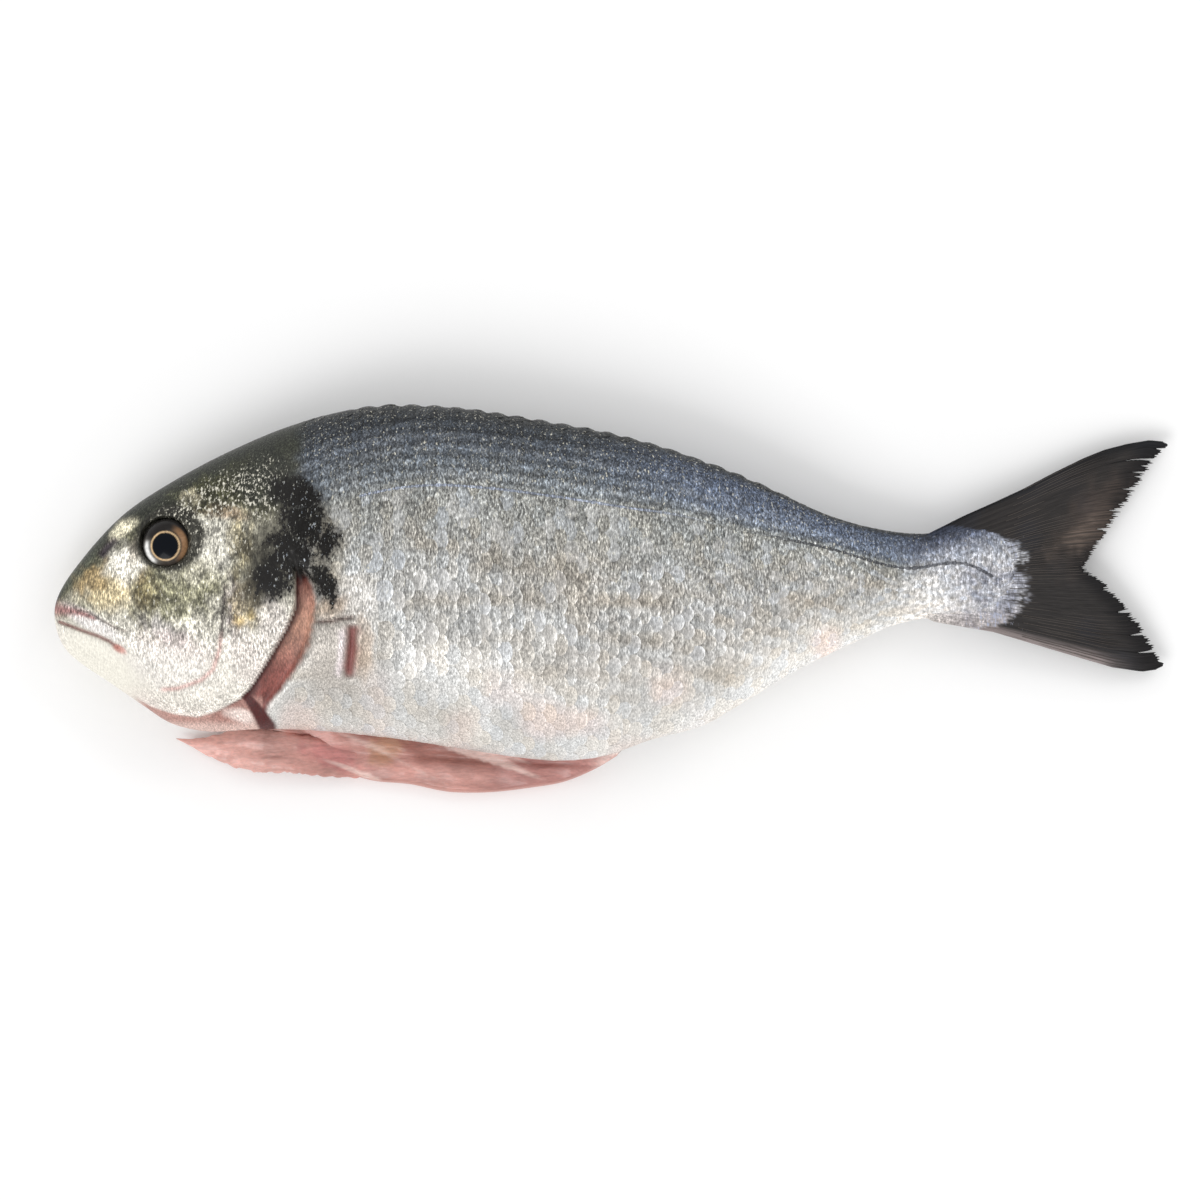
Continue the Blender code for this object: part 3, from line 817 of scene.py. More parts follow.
        # Painted shade: the gap by the throat is drawn in near-black red.
        tint = self.over(tint, (70, 6, 6), 0.98 * gap)
        flap = ease(0.2, 1.2, form.belly(distance) - height) * ease(58, 62, distance)
        tint = self.over(tint, (200, 148, 138), flap * (1 - ease(174, 180, distance)))
        down = self.below_line(*at)
        fine = 0.95 - 0.62 * ease(0.0, 0.9, down)
        grain = on_body * fine + (1 - on_body) * 0.8
        jaw = Patch((14, -19), (17, 9), -38, 0.4).mask(*at)
        low_cover = Patch((40, -24), (22, 9), 0, 0.5).mask(*at)
        grain = grain * (1 - 0.8 * jaw) * (1 - 0.45 * low_cover)
        flesh = np.clip(trough + throat + slit + cleft, 0, 1)
        soot = self.soot(*at) * (1 - flesh * (1 - ease(4, 8, height)))
        brow_band = Patch((50, 31), (20, 6.5), 24, 0.5).mask(*at)
        bend = Patch((62, 28), (7, 5), -45, 0.5).mask(*at)
        brow_band = 1.05 * np.maximum(brow_band, bend)
        cheek = Patch((49, 18), (9, 11), 0, 0.5).mask(*at)
        lower_cheek = Patch((42, 1), (22, 13), 0, 0.5).mask(*at)
        # Shine is painted glints: pale flecks spread over the body above the lower flank.
        shine = 0.5 * on_body * (1 - ease(0.3, 0.9, down))
        busy = Patch((44, 12), (30, 24), 20, 0.3).mask(*at) * (1 - 0.8 * jaw)
        fleck = np.maximum.reduce([brow_band, 0.9 * cheek, 0.6 * lower_cheek, 0.45 * soot, shine])
        silver = np.clip(0.2 + 0.35 * on_body - 0.25 * ease(0.6, 1, down), 0, 1)
        flesh = np.maximum(flesh, flap)
        stem = 1 - 0.45 * ease(235, 260, distance)
        blotch = np.maximum(busy * (1 - on_body), ease(225, 262, distance))
        return {"tint": tint, "soot": soot, "fleck": fleck * (1 - flesh) * stem,
                "blotch": blotch * (1 - flesh),
                "grain": grain * (1 - 0.55 * flesh) * stem, "silver": silver * (1 - flesh) * stem}

    def flesh(self, distance: Array, height: Array) -> Array:
        """Colours of the open belly wall and the throat flesh.

        Args:
            distance: Distances behind the snout.
            height: Heights above the middle line.

        Returns:
            Linear colours.
        """
        form = self.form
        inner = form.belly(distance)
        out = np.clip((inner - height) / np.maximum(inner - form.flap_edge(distance), 1), 0, 1)
        tint = plain_tint((196, 142, 132), distance)
        dark = ease(86, 98, distance) * (1 - ease(146, 158, distance))
        dark = dark * (1 - ease(0.2, 0.6, out + 0.3 * (soft_noise(distance, height, 6, 44) - 0.5)))
        tint = self.over(tint, (148, 86, 72), 0.9 * dark)
        tint = self.over(tint, (214, 164, 154), 0.9 * (1 - ease(58, 76, distance)))
        tint = self.patched(tint, self.flesh_patches, distance, height)
        tint = self.over(tint, (190, 132, 126), 0.6 * ease(124, 136, distance))
        tint = self.over(tint, (228, 204, 196), 0.9 * ease(157, 164, distance))
        fibre = soft_noise(distance / 5, height, 0.9, 41) - 0.5
        cloud = soft_noise(distance / 1.6, height, 5, 43) - 0.5
        tint = tint * (1 + 0.26 * fibre + 0.4 * cloud)[..., None]
        slanted = soft_noise(distance / 5 + height / 1.6, height / 1.5 + distance / 3, 2.0, 47)
        streak = ease(0.7, 0.85, slanted)
        return self.over(tint, (238, 210, 200), 0.6 * streak)


@dataclass
class Graph:
    """A node tree and short ways to add nodes to it."""

    tree: bpy.types.NodeTree

    def add(self, kind: str, inputs: dict[str, object] | None = None, **settings: object) -> Node:
        """Adds a node, sets its options and feeds its inputs.

        Args:
            kind: The node's type.
            inputs: Values or sources by input name.
            settings: The node's options by name.

        Returns:
            The node.
        """
        node = self.tree.nodes.new(kind)
        for name, value in settings.items():
            setattr(node, name, value)
        self.wire(node, inputs or {})
        return node

    def wire(self, node: Node, values: dict[str, object]) -> None:
        """Feeds a node's inputs by name.

        Args:
            node: The node.
            values: Values or sources.
        """
        for name, value in values.items():
            self.feed(node.inputs[name], value)

    def feed(self, socket: Socket, value: object) -> None:
        """Links a socket's source to it, or sets its plain value.

        Args:
            socket: The input.
            value: A number, a colour or a source.
        """
        if isinstance(value, Socket):
            self.tree.links.new(value, socket)
        else:
            socket.default_value = value

    def fed(self, node: Node, values: tuple[object, ...]) -> Socket:
        """Feeds a node's inputs in their order.

        Args:
            node: The node.
            values: Values or sources.

        Returns:
            Its first output.
        """
        for socket, value in zip(node.inputs, values):
            self.feed(socket, value)
        return node.outputs[0]

    def maths(self, operation: str, *values: object) -> Socket:
        """A Math node's output for numbers or sockets."""
        return self.fed(self.add("ShaderNodeMath", operation=operation), values)

    def times(self, first: object, second: object) -> Socket:
        """The product of two numbers or sockets."""
        return self.maths("MULTIPLY", first, second)

    def vector(self, *values: object) -> Socket:
        """A vector made of three numbers or sockets."""
        return self.fed(self.add("ShaderNodeCombineXYZ"), values)

    def split(self, vector: Socket) -> list[Socket]:
        """The three parts of a vector."""
        return list(self.add("ShaderNodeSeparateXYZ", {"Vector": vector}).outputs)

    def scaled(self, vector: Socket, factor: object) -> Socket:
        """A vector or colour times a number."""
        return self.fed(self.add("ShaderNodeVectorMath", {"Scale": factor}, operation="SCALE"), (vector,))

    def ramp(self, value: Socket, low: float, high: float, start: float = 0.0,
             end: float = 1.0) -> Socket:
        """A Map Range node from low..high to start..end."""
        return self.fed(self.add("ShaderNodeMapRange"), (value, low, high, start, end))

    def attribute(self, name: str, colour: bool = False) -> Socket:
        """One of the piece's own attributes, in a material."""
        return self.add("ShaderNodeAttribute", attribute_name=name).outputs["Color" if colour else "Fac"]

    def named(self, name: str, kind: str = "FLOAT_VECTOR") -> Socket:
        """A named attribute, in Geometry Nodes."""
        return self.add("GeometryNodeInputNamedAttribute", {"Name": name}, data_type=kind).outputs[0]

    def random(self, low: object, high: object, seed: object, kind: str = "FLOAT_VECTOR") -> Socket:
        """Random values between two limits.

        Args:
            low: The lower limit.
            high: The upper limit.
            seed: Picks the draw.
            kind: The type of the values.

        Returns:
            The values' socket.
        """
        node = self.add("FunctionNodeRandomValue", data_type=kind)
        ends = [socket for socket in node.inputs if socket.enabled and socket.name in ("Min", "Max")]
        for socket, value in zip(ends, (low, high)):
            socket.default_value = value
        self.feed(node.inputs["Seed"], seed)
        return next(socket for socket in node.outputs if socket.enabled)

    def mixed(self, share: Socket, first: object, second: object) -> Socket:
        """A colour mix of two sockets or linear colours.

        Args:
            share: How much of the second.
            first: The value at 0.
            second: The value at 1.

        Returns:
            The colour's socket.
        """
        node = self.add("ShaderNodeMix", {"Factor": share}, data_type="RGBA")
        for socket, value in ((node.inputs[6], first), (node.inputs[7], second)):
            self.feed(socket, value if isinstance(value, Socket) else (*value, 1))
        return node.outputs[2]

    def noise(self, vector: Socket, scale: object, detail: float) -> Socket:
        """Fractal noise, mostly from 0.3 to 0.7."""
        values = {"Vector": vector, "Scale": scale, "Detail": detail, "Roughness": 0.65}
        return self.add("ShaderNodeTexNoise", values).outputs["Fac"]

    def stretched(self, source: Socket, scale: Colour) -> Socket:
        """Coordinates scaled along their axes."""
        return self.add("ShaderNodeMapping", {"Vector": source, "Scale": scale}).outputs["Vector"]

    def bump(self, height: Socket, strength: float, depth_mm: float, shader: Node) -> None:
        """Feeds a height into the shader's normal."""
        values = {"Strength": strength, "Distance": depth_mm * MM, "Height": height}
        self.feed(shader.inputs["Normal"], self.add("ShaderNodeBump", values).outputs["Normal"])


@dataclass(frozen=True)
class Finish:
    """What all finishes share: a material with its graph, its shader and place coordinates."""

    name: str

    def start(self) -> tuple[bpy.types.Material, Graph, Node, Node]:
        """Makes the material.

        Returns:
            The material, its graph, the shader and the coordinate node.
        """
        material = bpy.data.materials.new(self.name)
        material.use_nodes = True
        graph = Graph(material.node_tree)
        shader = material.node_tree.nodes["Principled BSDF"]
        return material, graph, shader, graph.add("ShaderNodeTexCoord")

    @staticmethod
    def grain_group() -> bpy.types.NodeTree:
        """Fine grain stretched along the scales' edges, shared by skin and fin.

        Returns:
            A group with Vector and Size inputs, and Grain, Blot and Glint outputs from 0 to 1.
        """
        existing = bpy.data.node_groups.get("wet_grain")
        if existing:
            return existing
        group = bpy.data.node_groups.new("wet_grain", "ShaderNodeTree")
        group.interface.new_socket("Vector", in_out="INPUT", socket_type="NodeSocketVector")
        group.interface.new_socket("Size", in_out="INPUT", socket_type="NodeSocketFloat")
        for name in ("Grain", "Blot", "Glint"):
            group.interface.new_socket(name, in_out="OUTPUT", socket_type="NodeSocketFloat")
        graph = Graph(group)
        enter, leave = graph.add("NodeGroupInput"), graph.add("NodeGroupOutput")
        streaks = ("Grain", 1.0, 3.0, 0.3), ("Blot", 0.42, 4.0, 0.75), ("Glint", 0.75, 2.0, 0.36)
        for name, share, detail, squeeze in streaks:
            place = graph.stretched(enter.outputs["Vector"], (1.0, squeeze, 1.0))
            scale = graph.times(enter.outputs["Size"], share)
            spread = graph.ramp(graph.noise(place, scale, detail), 0.28, 0.72)
            graph.feed(leave.inputs[name], spread)
        return group


@dataclass(frozen=True)
class SkinFinish(Finish):
    """Wet silver skin that reads the fish's markings, and the painted light and shade among them, from the
    piece's attributes.
    """

    grain_size: float = 2300.0
    contrast: float = 4.4
    roughness: float = 0.42
    gloss: float = 0.3
    coat: float = 0.08
    bump_mm: float = 0.12
    fleck_colour: Colour = (236, 232, 216)
    cold_colour: Colour = (164, 178, 200)
    soot_colour: Colour = (20, 18, 16)

    def build(self) -> bpy.types.Material:
        """Makes the material.

        Returns:
            The material.
        """
        material, graph, shader, place = self.start()
        grain = graph.add("ShaderNodeGroup", {"Size": self.grain_size,
            "Vector": place.outputs["Object"]}, node_tree=self.grain_group())
        fine, blot, glint = (grain.outputs[name] for name in ("Grain", "Blot", "Glint"))
        swing = graph.times(graph.maths("SUBTRACT", fine, 0.5), graph.attribute("grain"))
        # The edge attribute brings the painted glints and painted shade of the scale rims, broken up by
        # blotches.
        edge = graph.times(graph.attribute("edge"), graph.ramp(blot, 0.1, 0.9, 0.1, 1.9))
        power = graph.maths("MULTIPLY_ADD", swing, self.contrast, edge)
        patchy = graph.ramp(blot, 0.0, 1.0, -0.95, 1.15)
        patchy = graph.times(graph.attribute("blotch"), patchy)
        power = graph.maths("ADD", power, patchy)
        colour = graph.scaled(graph.attribute("tint", True), graph.maths("POWER", 2.0, power))
        level = graph.maths("MULTIPLY_ADD", graph.attribute("soot"), 1.25, graph.times(blot, 0.8))
        level = graph.maths("MULTIPLY_ADD", fine, 0.5, level)
        colour = graph.mixed(graph.ramp(level, 1.05, 1.65), colour, linear(self.soot_colour))
        # Pale flecks: real specks of the skin on the head and black patch, and painted glints on the body.
        fleck = graph.attribute("fleck")
        spread = graph.times(fleck, graph.ramp(blot, 0.2, 0.8, 0.0, 0.62))
        level = graph.maths("ADD", spread, glint)
        shown = graph.times(graph.ramp(level, 0.92, 1.3), graph.ramp(fleck, 0.02, 0.3))
        cold = graph.ramp(graph.times(graph.attribute("soot"), blot), 0.3, 0.9)
        light = graph.mixed(cold, linear(self.fleck_colour), linear(self.cold_colour))
        colour = graph.mixed(shown, colour, light)
        graph.feed(shader.inputs["Base Color"], colour)
        shine = graph.times(graph.attribute("silver"), graph.ramp(glint, 0.2, 0.8, 0.5, 1.3))
        graph.feed(shader.inputs["Metallic"], graph.maths("MINIMUM", shine, 0.8))
        rough = graph.ramp(glint, 0.0, 1.0, self.roughness + 0.12, self.roughness - 0.1)
        graph.wire(shader, {"Roughness": rough, "Specular IOR Level": self.gloss, "Coat Weight": self.coat,
            "Coat Roughness": 0.2})
        graph.bump(graph.maths("MULTIPLY_ADD", glint, 0.6, fine), 0.5, self.bump_mm, shader)
        return material


@dataclass(frozen=True)
class FleshFinish(Finish):
    """Wet pink flesh with fine fibres."""

    roughness: float = 0.36
    coat: float = 0.35

    def build(self) -> bpy.types.Material:
        """Makes the material.

        Returns:
            The material.
        """
        material, graph, shader, place = self.start()
        fibres = graph.stretched(place.outputs["Object"], (0.35, 1.4, 1.0))
        strands = graph.noise(fibres, 1100.0, 4.0)
        factor = graph.ramp(strands, 0.3, 0.7, 0.8, 1.16)
        graph.feed(shader.inputs["Base Color"], graph.scaled(graph.attribute("tint", True), factor))
        rough = graph.ramp(strands, 0.3, 0.7, self.roughness + 0.12, self.roughness - 0.06)
        graph.wire(shader, {"Roughness": rough, "Coat Weight": self.coat, "Coat Roughness": 0.12,
            "Subsurface Weight": 0.12, "Subsurface Radius": (1.0, 0.35, 0.25), "Subsurface Scale": 0.002})
        graph.bump(strands, 0.45, 0.3, shader)
        return material


@dataclass(frozen=True)
class FinFinish(Finish):
    """Dark fin membrane with fine streaks along the rays and silver specks at its root."""

    roughness: float = 0.46
    speck_colour: Colour = (176, 181, 200)

    def build(self) -> bpy.types.Material:
        """Makes the material.

        Returns:
            The material.
        """
        material, graph, shader, place = self.start()
        along_rays = graph.stretched(place.outputs["UV"], (9.0, 230.0, 1.0))
        streaks = graph.noise(along_rays, 1.0, 5.0)
        factor = graph.ramp(streaks, 0.3, 0.7, 0.45, 1.7)
        colour = graph.scaled(graph.attribute("tint", True), factor)
        grain = graph.add("ShaderNodeGroup", {"Size": 1900.0,
            "Vector": place.outputs["Object"]}, node_tree=self.grain_group())
        swing = graph.maths("ADD", grain.outputs["Grain"], grain.outputs["Blot"])
        swing = graph.maths("SUBTRACT", swing, 1.0)
        power = graph.times(swing, graph.ramp(graph.attribute("silver"), 0.0, 1.0, 0.0, 1.7))
        colour = graph.scaled(colour, graph.maths("POWER", 2.0, power))
        level = graph.maths("MULTIPLY_ADD", graph.attribute("fleck"), 0.55, grain.outputs["Glint"])
        colour = graph.mixed(graph.ramp(level, 1.0, 1.4), colour, linear(self.speck_colour))
        graph.wire(shader, {"Base Color": colour, "Specular IOR Level": 0.2})
        rough = graph.ramp(streaks, 0.3, 0.7, self.roughness + 0.1, self.roughness - 0.08)
        graph.wire(shader, {"Roughness": rough, "Coat Weight": 0.03, "Coat Roughness": 0.3})
        graph.bump(streaks, 0.4, 0.25, shader)
        return material


@dataclass(frozen=True)
class EyeFinish(Finish):
    """Glossy eye whose colours come from the piece's tint."""

    def build(self) -> bpy.types.Material:
        """Makes the material.

        Returns:
            The material.
        """
        material, graph, shader, place = self.start()
        mottle = graph.noise(place.outputs["Object"], 1100.0, 4.0)
        factor = graph.ramp(mottle, 0.3, 0.7, 0.75, 1.25)
        graph.wire(shader, {"Base Color": graph.scaled(graph.attribute("tint", True), factor),
            "Roughness": graph.ramp(mottle, 0.3, 0.7, 0.3, 0.18), "Specular IOR Level": 0.1,
            "Coat Weight": 0.25, "Coat IOR": 1.25, "Coat Roughness": 0.03})
        return material


class MeshTools:
    """Small helpers that turn grids of points into pieces."""

    @staticmethod
    def link(piece: Piece) -> Piece:
        """Puts a piece in the scene's collection."""
        bpy.context.scene.collection.objects.link(piece)
        return piece

    @staticmethod
    def keep(shape: bmesh.types.BMesh, name: str) -> Piece:
        """Turns a finished bmesh into a linked piece with smooth faces.

        Args:
            shape: The bmesh, which is freed.
            name: The new name.

        Returns:
            The piece.
        """
        mesh = bpy.data.meshes.new(name)
        shape.to_mesh(mesh)
        shape.free()
        mesh.shade_smooth()
        return MeshTools.link(bpy.data.objects.new(name, mesh))

    @staticmethod
    def store(mesh: bpy.types.Mesh, name: str, numbers: Array, kind: str = "FLOAT",
              field: str = "value") -> None:
        """Keeps numbers on a mesh's points as an attribute."""
        layer = mesh.attributes.new(name, kind, "POINT")
        layer.data.foreach_set(field, np.asarray(numbers, float).reshape(-1))

    @staticmethod
    def grid(name: str, points: Array, closed: bool = True, capped: bool = True, weld: float = 0.02,
             values: dict[str, Array] | None = None) -> Piece:
        """A mesh over rows of points.

        Args:
            name: The piece's name.
            points: Rows x columns x 3, in millimetres.
            closed: Whether each row is a ring.
            capped: Whether the first and last row are drawn in to their middles.
            weld: Merge distance in millimetres.
            values: Further numbers for each point, kept as attributes.

        Returns:
            A linked object with smooth faces that point outwards.
        """
        rows, columns, _ = points.shape
        index = np.arange(rows * columns).reshape(rows, columns)
        after = np.roll(index, -1, axis=1) if closed else index[:, 1:]
        first = index if closed else index[:, :-1]
        corners = (first[:-1], after[:-1], after[1:], first[1:])
        faces = np.stack(corners, axis=-1).reshape(-1, 4).tolist()
        everything = points.reshape(-1, 3)
        ends = (0, rows - 1) if capped else ()
        for row in ends:
            faces += [(int(a), int(b), len(everything)) for a, b in zip(index[row], after[row])]
            everything = np.vstack([everything, points[row].mean(axis=0)])
        mesh = bpy.data.meshes.new(name)
        mesh.from_pydata((everything * MM).tolist(), [], faces)
        for label, numbers in (values or {}).items():
            flat = np.asarray(numbers, float).reshape(-1)
            MeshTools.store(mesh, label, np.concatenate([flat, np.zeros(len(ends))]))
        if closed:
            MeshTools.tidy(mesh, weld)
        mesh.shade_smooth()
        return MeshTools.link(bpy.data.objects.new(name, mesh))

    @staticmethod
    def tidy(mesh: bpy.types.Mesh, weld: float = 0.0) -> None:
        """Welds points that meet and turns every face outwards.

        Args:
            mesh: The mesh to change.
            weld: Merge distance in millimetres, or 0.
        """
        shape = bmesh.new()
        shape.from_mesh(mesh)
        if weld:
            bmesh.ops.remove_doubles(shape, verts=shape.verts, dist=weld * MM)
        bmesh.ops.recalc_face_normals(shape, faces=shape.faces)
        shape.to_mesh(mesh)
        shape.free()

    @staticmethod
    def read(rows: bpy.types.bpy_prop_collection, field: str, width: int = 1, kind: type = float) -> Array:
        """Numbers kept on the rows of a mesh.

        Args:
            rows: Points, corners or faces.
            field: What to read of each row.
            width: Numbers for each row.
            kind: The type of the numbers.

        Returns:
            The numbers in one row.
        """
        flat = np.zeros(len(rows) * width, kind)
        rows.foreach_get(field, flat)
        return flat

    @staticmethod
    def places(piece: Piece) -> Array:
        """The piece's vertices, in millimetres."""
        return MeshTools.read(piece.data.vertices, "co", 3).reshape(-1, 3) / MM

    @staticmethod
    def corners(mesh: bpy.types.Mesh) -> Array:
        """The vertex number of each face corner."""
        return MeshTools.read(mesh.loops, "vertex_index", kind=int)

    @staticmethod
    def numbers(piece: Piece, name: str) -> Array:
        """One of the piece's own point attributes."""
        return MeshTools.read(piece.data.attributes[name].data, "value")

    @staticmethod
    def uv(piece: Piece, name: str, first: Array, second: Array) -> None:
        """Gives a piece a UV map from two numbers for each point.

        Args:
            piece: The piece.
            name: The map's name.
            first: The first coordinate of each point.
            second: The second one.
        """
        corners = MeshTools.corners(piece.data)
        layer = piece.data.uv_layers.new(name=name)
        pairs = np.stack([first.reshape(-1)[corners], second.reshape(-1)[corners]], axis=1)
        layer.data.foreach_set("uv", pairs.reshape(-1))

    @staticmethod
    def dye(piece: Piece, tint: Array, **masks: Array) -> None:
        """Stores colours and masks on the piece's points.

        Args:
            piece: The piece.
            tint: Linear colours of the points.
            masks: Numbers for each point, by name.
        """
        opaque = np.concatenate([tint, np.ones((len(tint), 1))], axis=1)
        MeshTools.store(piece.data, "tint", opaque, "FLOAT_COLOR", "color")
        for name, numbers in masks.items():
            MeshTools.store(piece.data, name, numbers)

    @staticmethod
    def tree(name: str, inputs: dict[str, str]) -> tuple[Graph, Node, Node]:
        """A Geometry Nodes tree with a Geometry output.

        Args:
            name: The tree's name.
            inputs: Kind of socket by name, after Geometry.

        Returns:
            Its graph, input node and output node.
        """
        tree = bpy.data.node_groups.new(name, "GeometryNodeTree")
        for label, kind in {"Geometry": "Geometry", **inputs}.items():
            tree.interface.new_socket(label, in_out="INPUT", socket_type="NodeSocket" + kind)
        tree.interface.new_socket("Geometry", in_out="OUTPUT", socket_type="NodeSocketGeometry")
        graph = Graph(tree)
        return graph, graph.add("NodeGroupInput"), graph.add("NodeGroupOutput")

    @staticmethod
    def finish_tree(graph: Graph, enter: Node, leave: Node, made: Socket) -> None:
        """Ends a tree in Realize Instances and Set Material.

        Args:
            graph: The tree's graph.
            enter: Its input node.
            leave: Its output node.
            made: The geometry to finish.
        """
        solid = graph.add("GeometryNodeRealizeInstances", {"Geometry": made})
        dress = graph.add("GeometryNodeSetMaterial", {"Geometry": solid.outputs["Geometry"],
            "Material": enter.outputs["Material"]})
        graph.feed(leave.inputs["Geometry"], dress.outputs["Geometry"])

    @staticmethod
    def run(carrier: Piece, graph: Graph, settings: dict[str, object],
            name: str) -> Piece:
        """Runs a Geometry Nodes tree on a carrier and keeps the result as a plain mesh.

        Args:
            carrier: The piece to run it on, which is removed.
            graph: The tree, whose inputs are set by socket identifier.
            settings: Values by input name.
            name: The new piece's name.

        Returns:
            The new piece.
        """
        modifier = carrier.modifiers.new(name, "NODES")
        modifier.node_group = graph.tree
        for item in graph.tree.interface.items_tree:
            if item.item_type == "SOCKET" and item.in_out == "INPUT" and item.name in settings:
                modifier[item.identifier] = settings[item.name]
        bpy.context.view_layer.update()
        evaluated = carrier.evaluated_get(bpy.context.evaluated_depsgraph_get())
        mesh = bpy.data.meshes.new_from_object(evaluated)
        bpy.data.objects.remove(carrier)
        mesh.name = name
        return MeshTools.link(bpy.data.objects.new(name, mesh))


@dataclass
class BodySkin:
    """The whole outer skin, the open belly and its spread lower wall, as one closed piece."""

    form: FishForm
    paint: FishPaint
    rings: int = 306
    left_points: int = 170
    inner_points: int = 50
    right_points: int = 96
    roof_points: int = 10
    fold_height: float = 0.85

    def stations(self) -> Array:
        """Distances of the rings behind the snout, closest at the nose and on the head.

        Returns:
            One distance for each ring.
        """
        fine = np.linspace(0.03, self.form.body_length - 0.03, 4000)
        spacing = ((0, 0.1), (4, 0.5), (12, 0.6), (92, 0.6), (110, 1.4), (262, 1.4), (280, 0.9),
                   (286, 0.25))
        gap = np.interp(fine, *zip(*spacing))
        travelled = np.cumsum(1 / gap)
        return np.interp(np.linspace(travelled[0], travelled[-1], self.rings), travelled, fine)

    @staticmethod
    def angles(count: int) -> Array:
        """Angles from back to belly, between even in angle and even in height."""
        even = np.linspace(0, 1, count)
        return 0.45 * np.arccos(1 - 2 * even) + 0.55 * math.pi * even

    def inner_wall(self, distance: Array, left: tuple[Array, Array],
                   right: tuple[Array, Array]) -> tuple[Array, Array]:
        """Points up the inside of the upper wall and down the inside of the lower one.

        Args:
            distance: One distance for each ring, as a column.
            left: Height and Z of the upper wall's edge.
            right: Height and Z of the lower wall's edge.

        Returns:
            Height and Z, each rings x inner_points.
        """
        share, wall = self.form.cavity_share(distance), self.form.wall
        lip = (left[0] + 0.4 * share, left[1] - wall * 0.6 * share)
        roof = (left[0] + self.form.cavity_depth * share, left[1] - 2.0 * share)
        outer = (right[0] + 0.8 * share, right[1] + wall * share)
        bend = (left[0] + 4 * share, left[1] - 5 * share)
        up = np.linspace(0, 1, self.roof_points)[None, :]
        down = np.linspace(0, 1, self.inner_points - self.roof_points + 1)[None, 1:]
        rise = [a + (b - a) * up for a, b in zip(lip, roof)]
        rise[1] = rise[1] + 0.8 * share * np.sin(math.pi * up)
        fall = [(1 - down) ** 2 * a + 2 * down * (1 - down) * b + down**2 * c
                for a, b, c in zip(roof, bend, outer)]
        folds = soft_noise(distance / 2.2 + fall[0] / 2.5, fall[0], 4.2, 21) - 0.5
        fine = soft_noise(distance / 1.3, fall[0] - distance / 5, 2.1, 22) - 0.5
        seam = np.exp(-((fall[0] + 46.5 + 0.05 * (distance - 110)) / 1.1) ** 2)
        swell = self.fold_height * (1.8 * folds + 0.5 * fine) - 0.8 * seam
        fall[1] = fall[1] + share * ease(0.2, 0.5, down) * swell
        return np.concatenate([rise[0], fall[0]], axis=1), np.concatenate([rise[1], fall[1]], axis=1)

    def build(self) -> Piece:
        """Makes the piece and paints it.

        Returns:
            The finished piece.
        """
        form = self.form
        distance = self.stations()[:, None]
        left = form.flank(distance, self.angles(self.left_points)[None, :], Side.LEFT)
        right = form.flank(distance, self.angles(self.right_points)[None, :], Side.RIGHT)
        edges = [tuple(part[:, -1:] for part in flank) for flank in (left, right)]
        inner = self.inner_wall(distance, *edges)
        height, z = (np.concatenate([a, b, c[:, :0:-1]], axis=1)
                     for a, b, c in zip(left, inner, right))
        x = form.snout_x + distance + np.zeros_like(height)
        belly = form.cavity_share(distance) * np.ones_like(inner[0])
        outside = [np.zeros_like(left[0]), belly, np.zeros_like(right[0][:, 1:])]
        points = np.stack([x, height, np.maximum(z, 0.0)], axis=-1)
        values = {"inside": np.concatenate(outside, axis=1)}
        piece = MeshTools.grid("bream_skin", points, values=values)
        self.dress(piece)
        return piece

    def dress(self, piece: Piece) -> None:
        """Paints the skin outside and flesh inside.

        Args:
            piece: The piece.
        """
        distance, height = self.form.places(piece)
        marks = self.paint.skin(distance, height)
        tint = marks.pop("tint")
        fleshy = ease(0.02, 0.3, MeshTools.numbers(piece, "inside"))
        tint = tint + (self.paint.flesh(distance, height) - tint) * fleshy[:, None]
        marks = {name: mask * (1 - fleshy) for name, mask in marks.items()}
        MeshTools.dye(piece, tint, edge=np.zeros(len(distance)), **marks)
        piece.data.materials.append(SkinFinish("silver_skin").build())
        piece.data.materials.append(FleshFinish("belly_flesh").build())
        starts = MeshTools.read(piece.data.polygons, "loop_start", kind=int)
        inner = np.minimum.reduceat(fleshy[MeshTools.corners(piece.data)], starts) > 0.5
        piece.data.polygons.foreach_set("material_index", inner.astype(int))


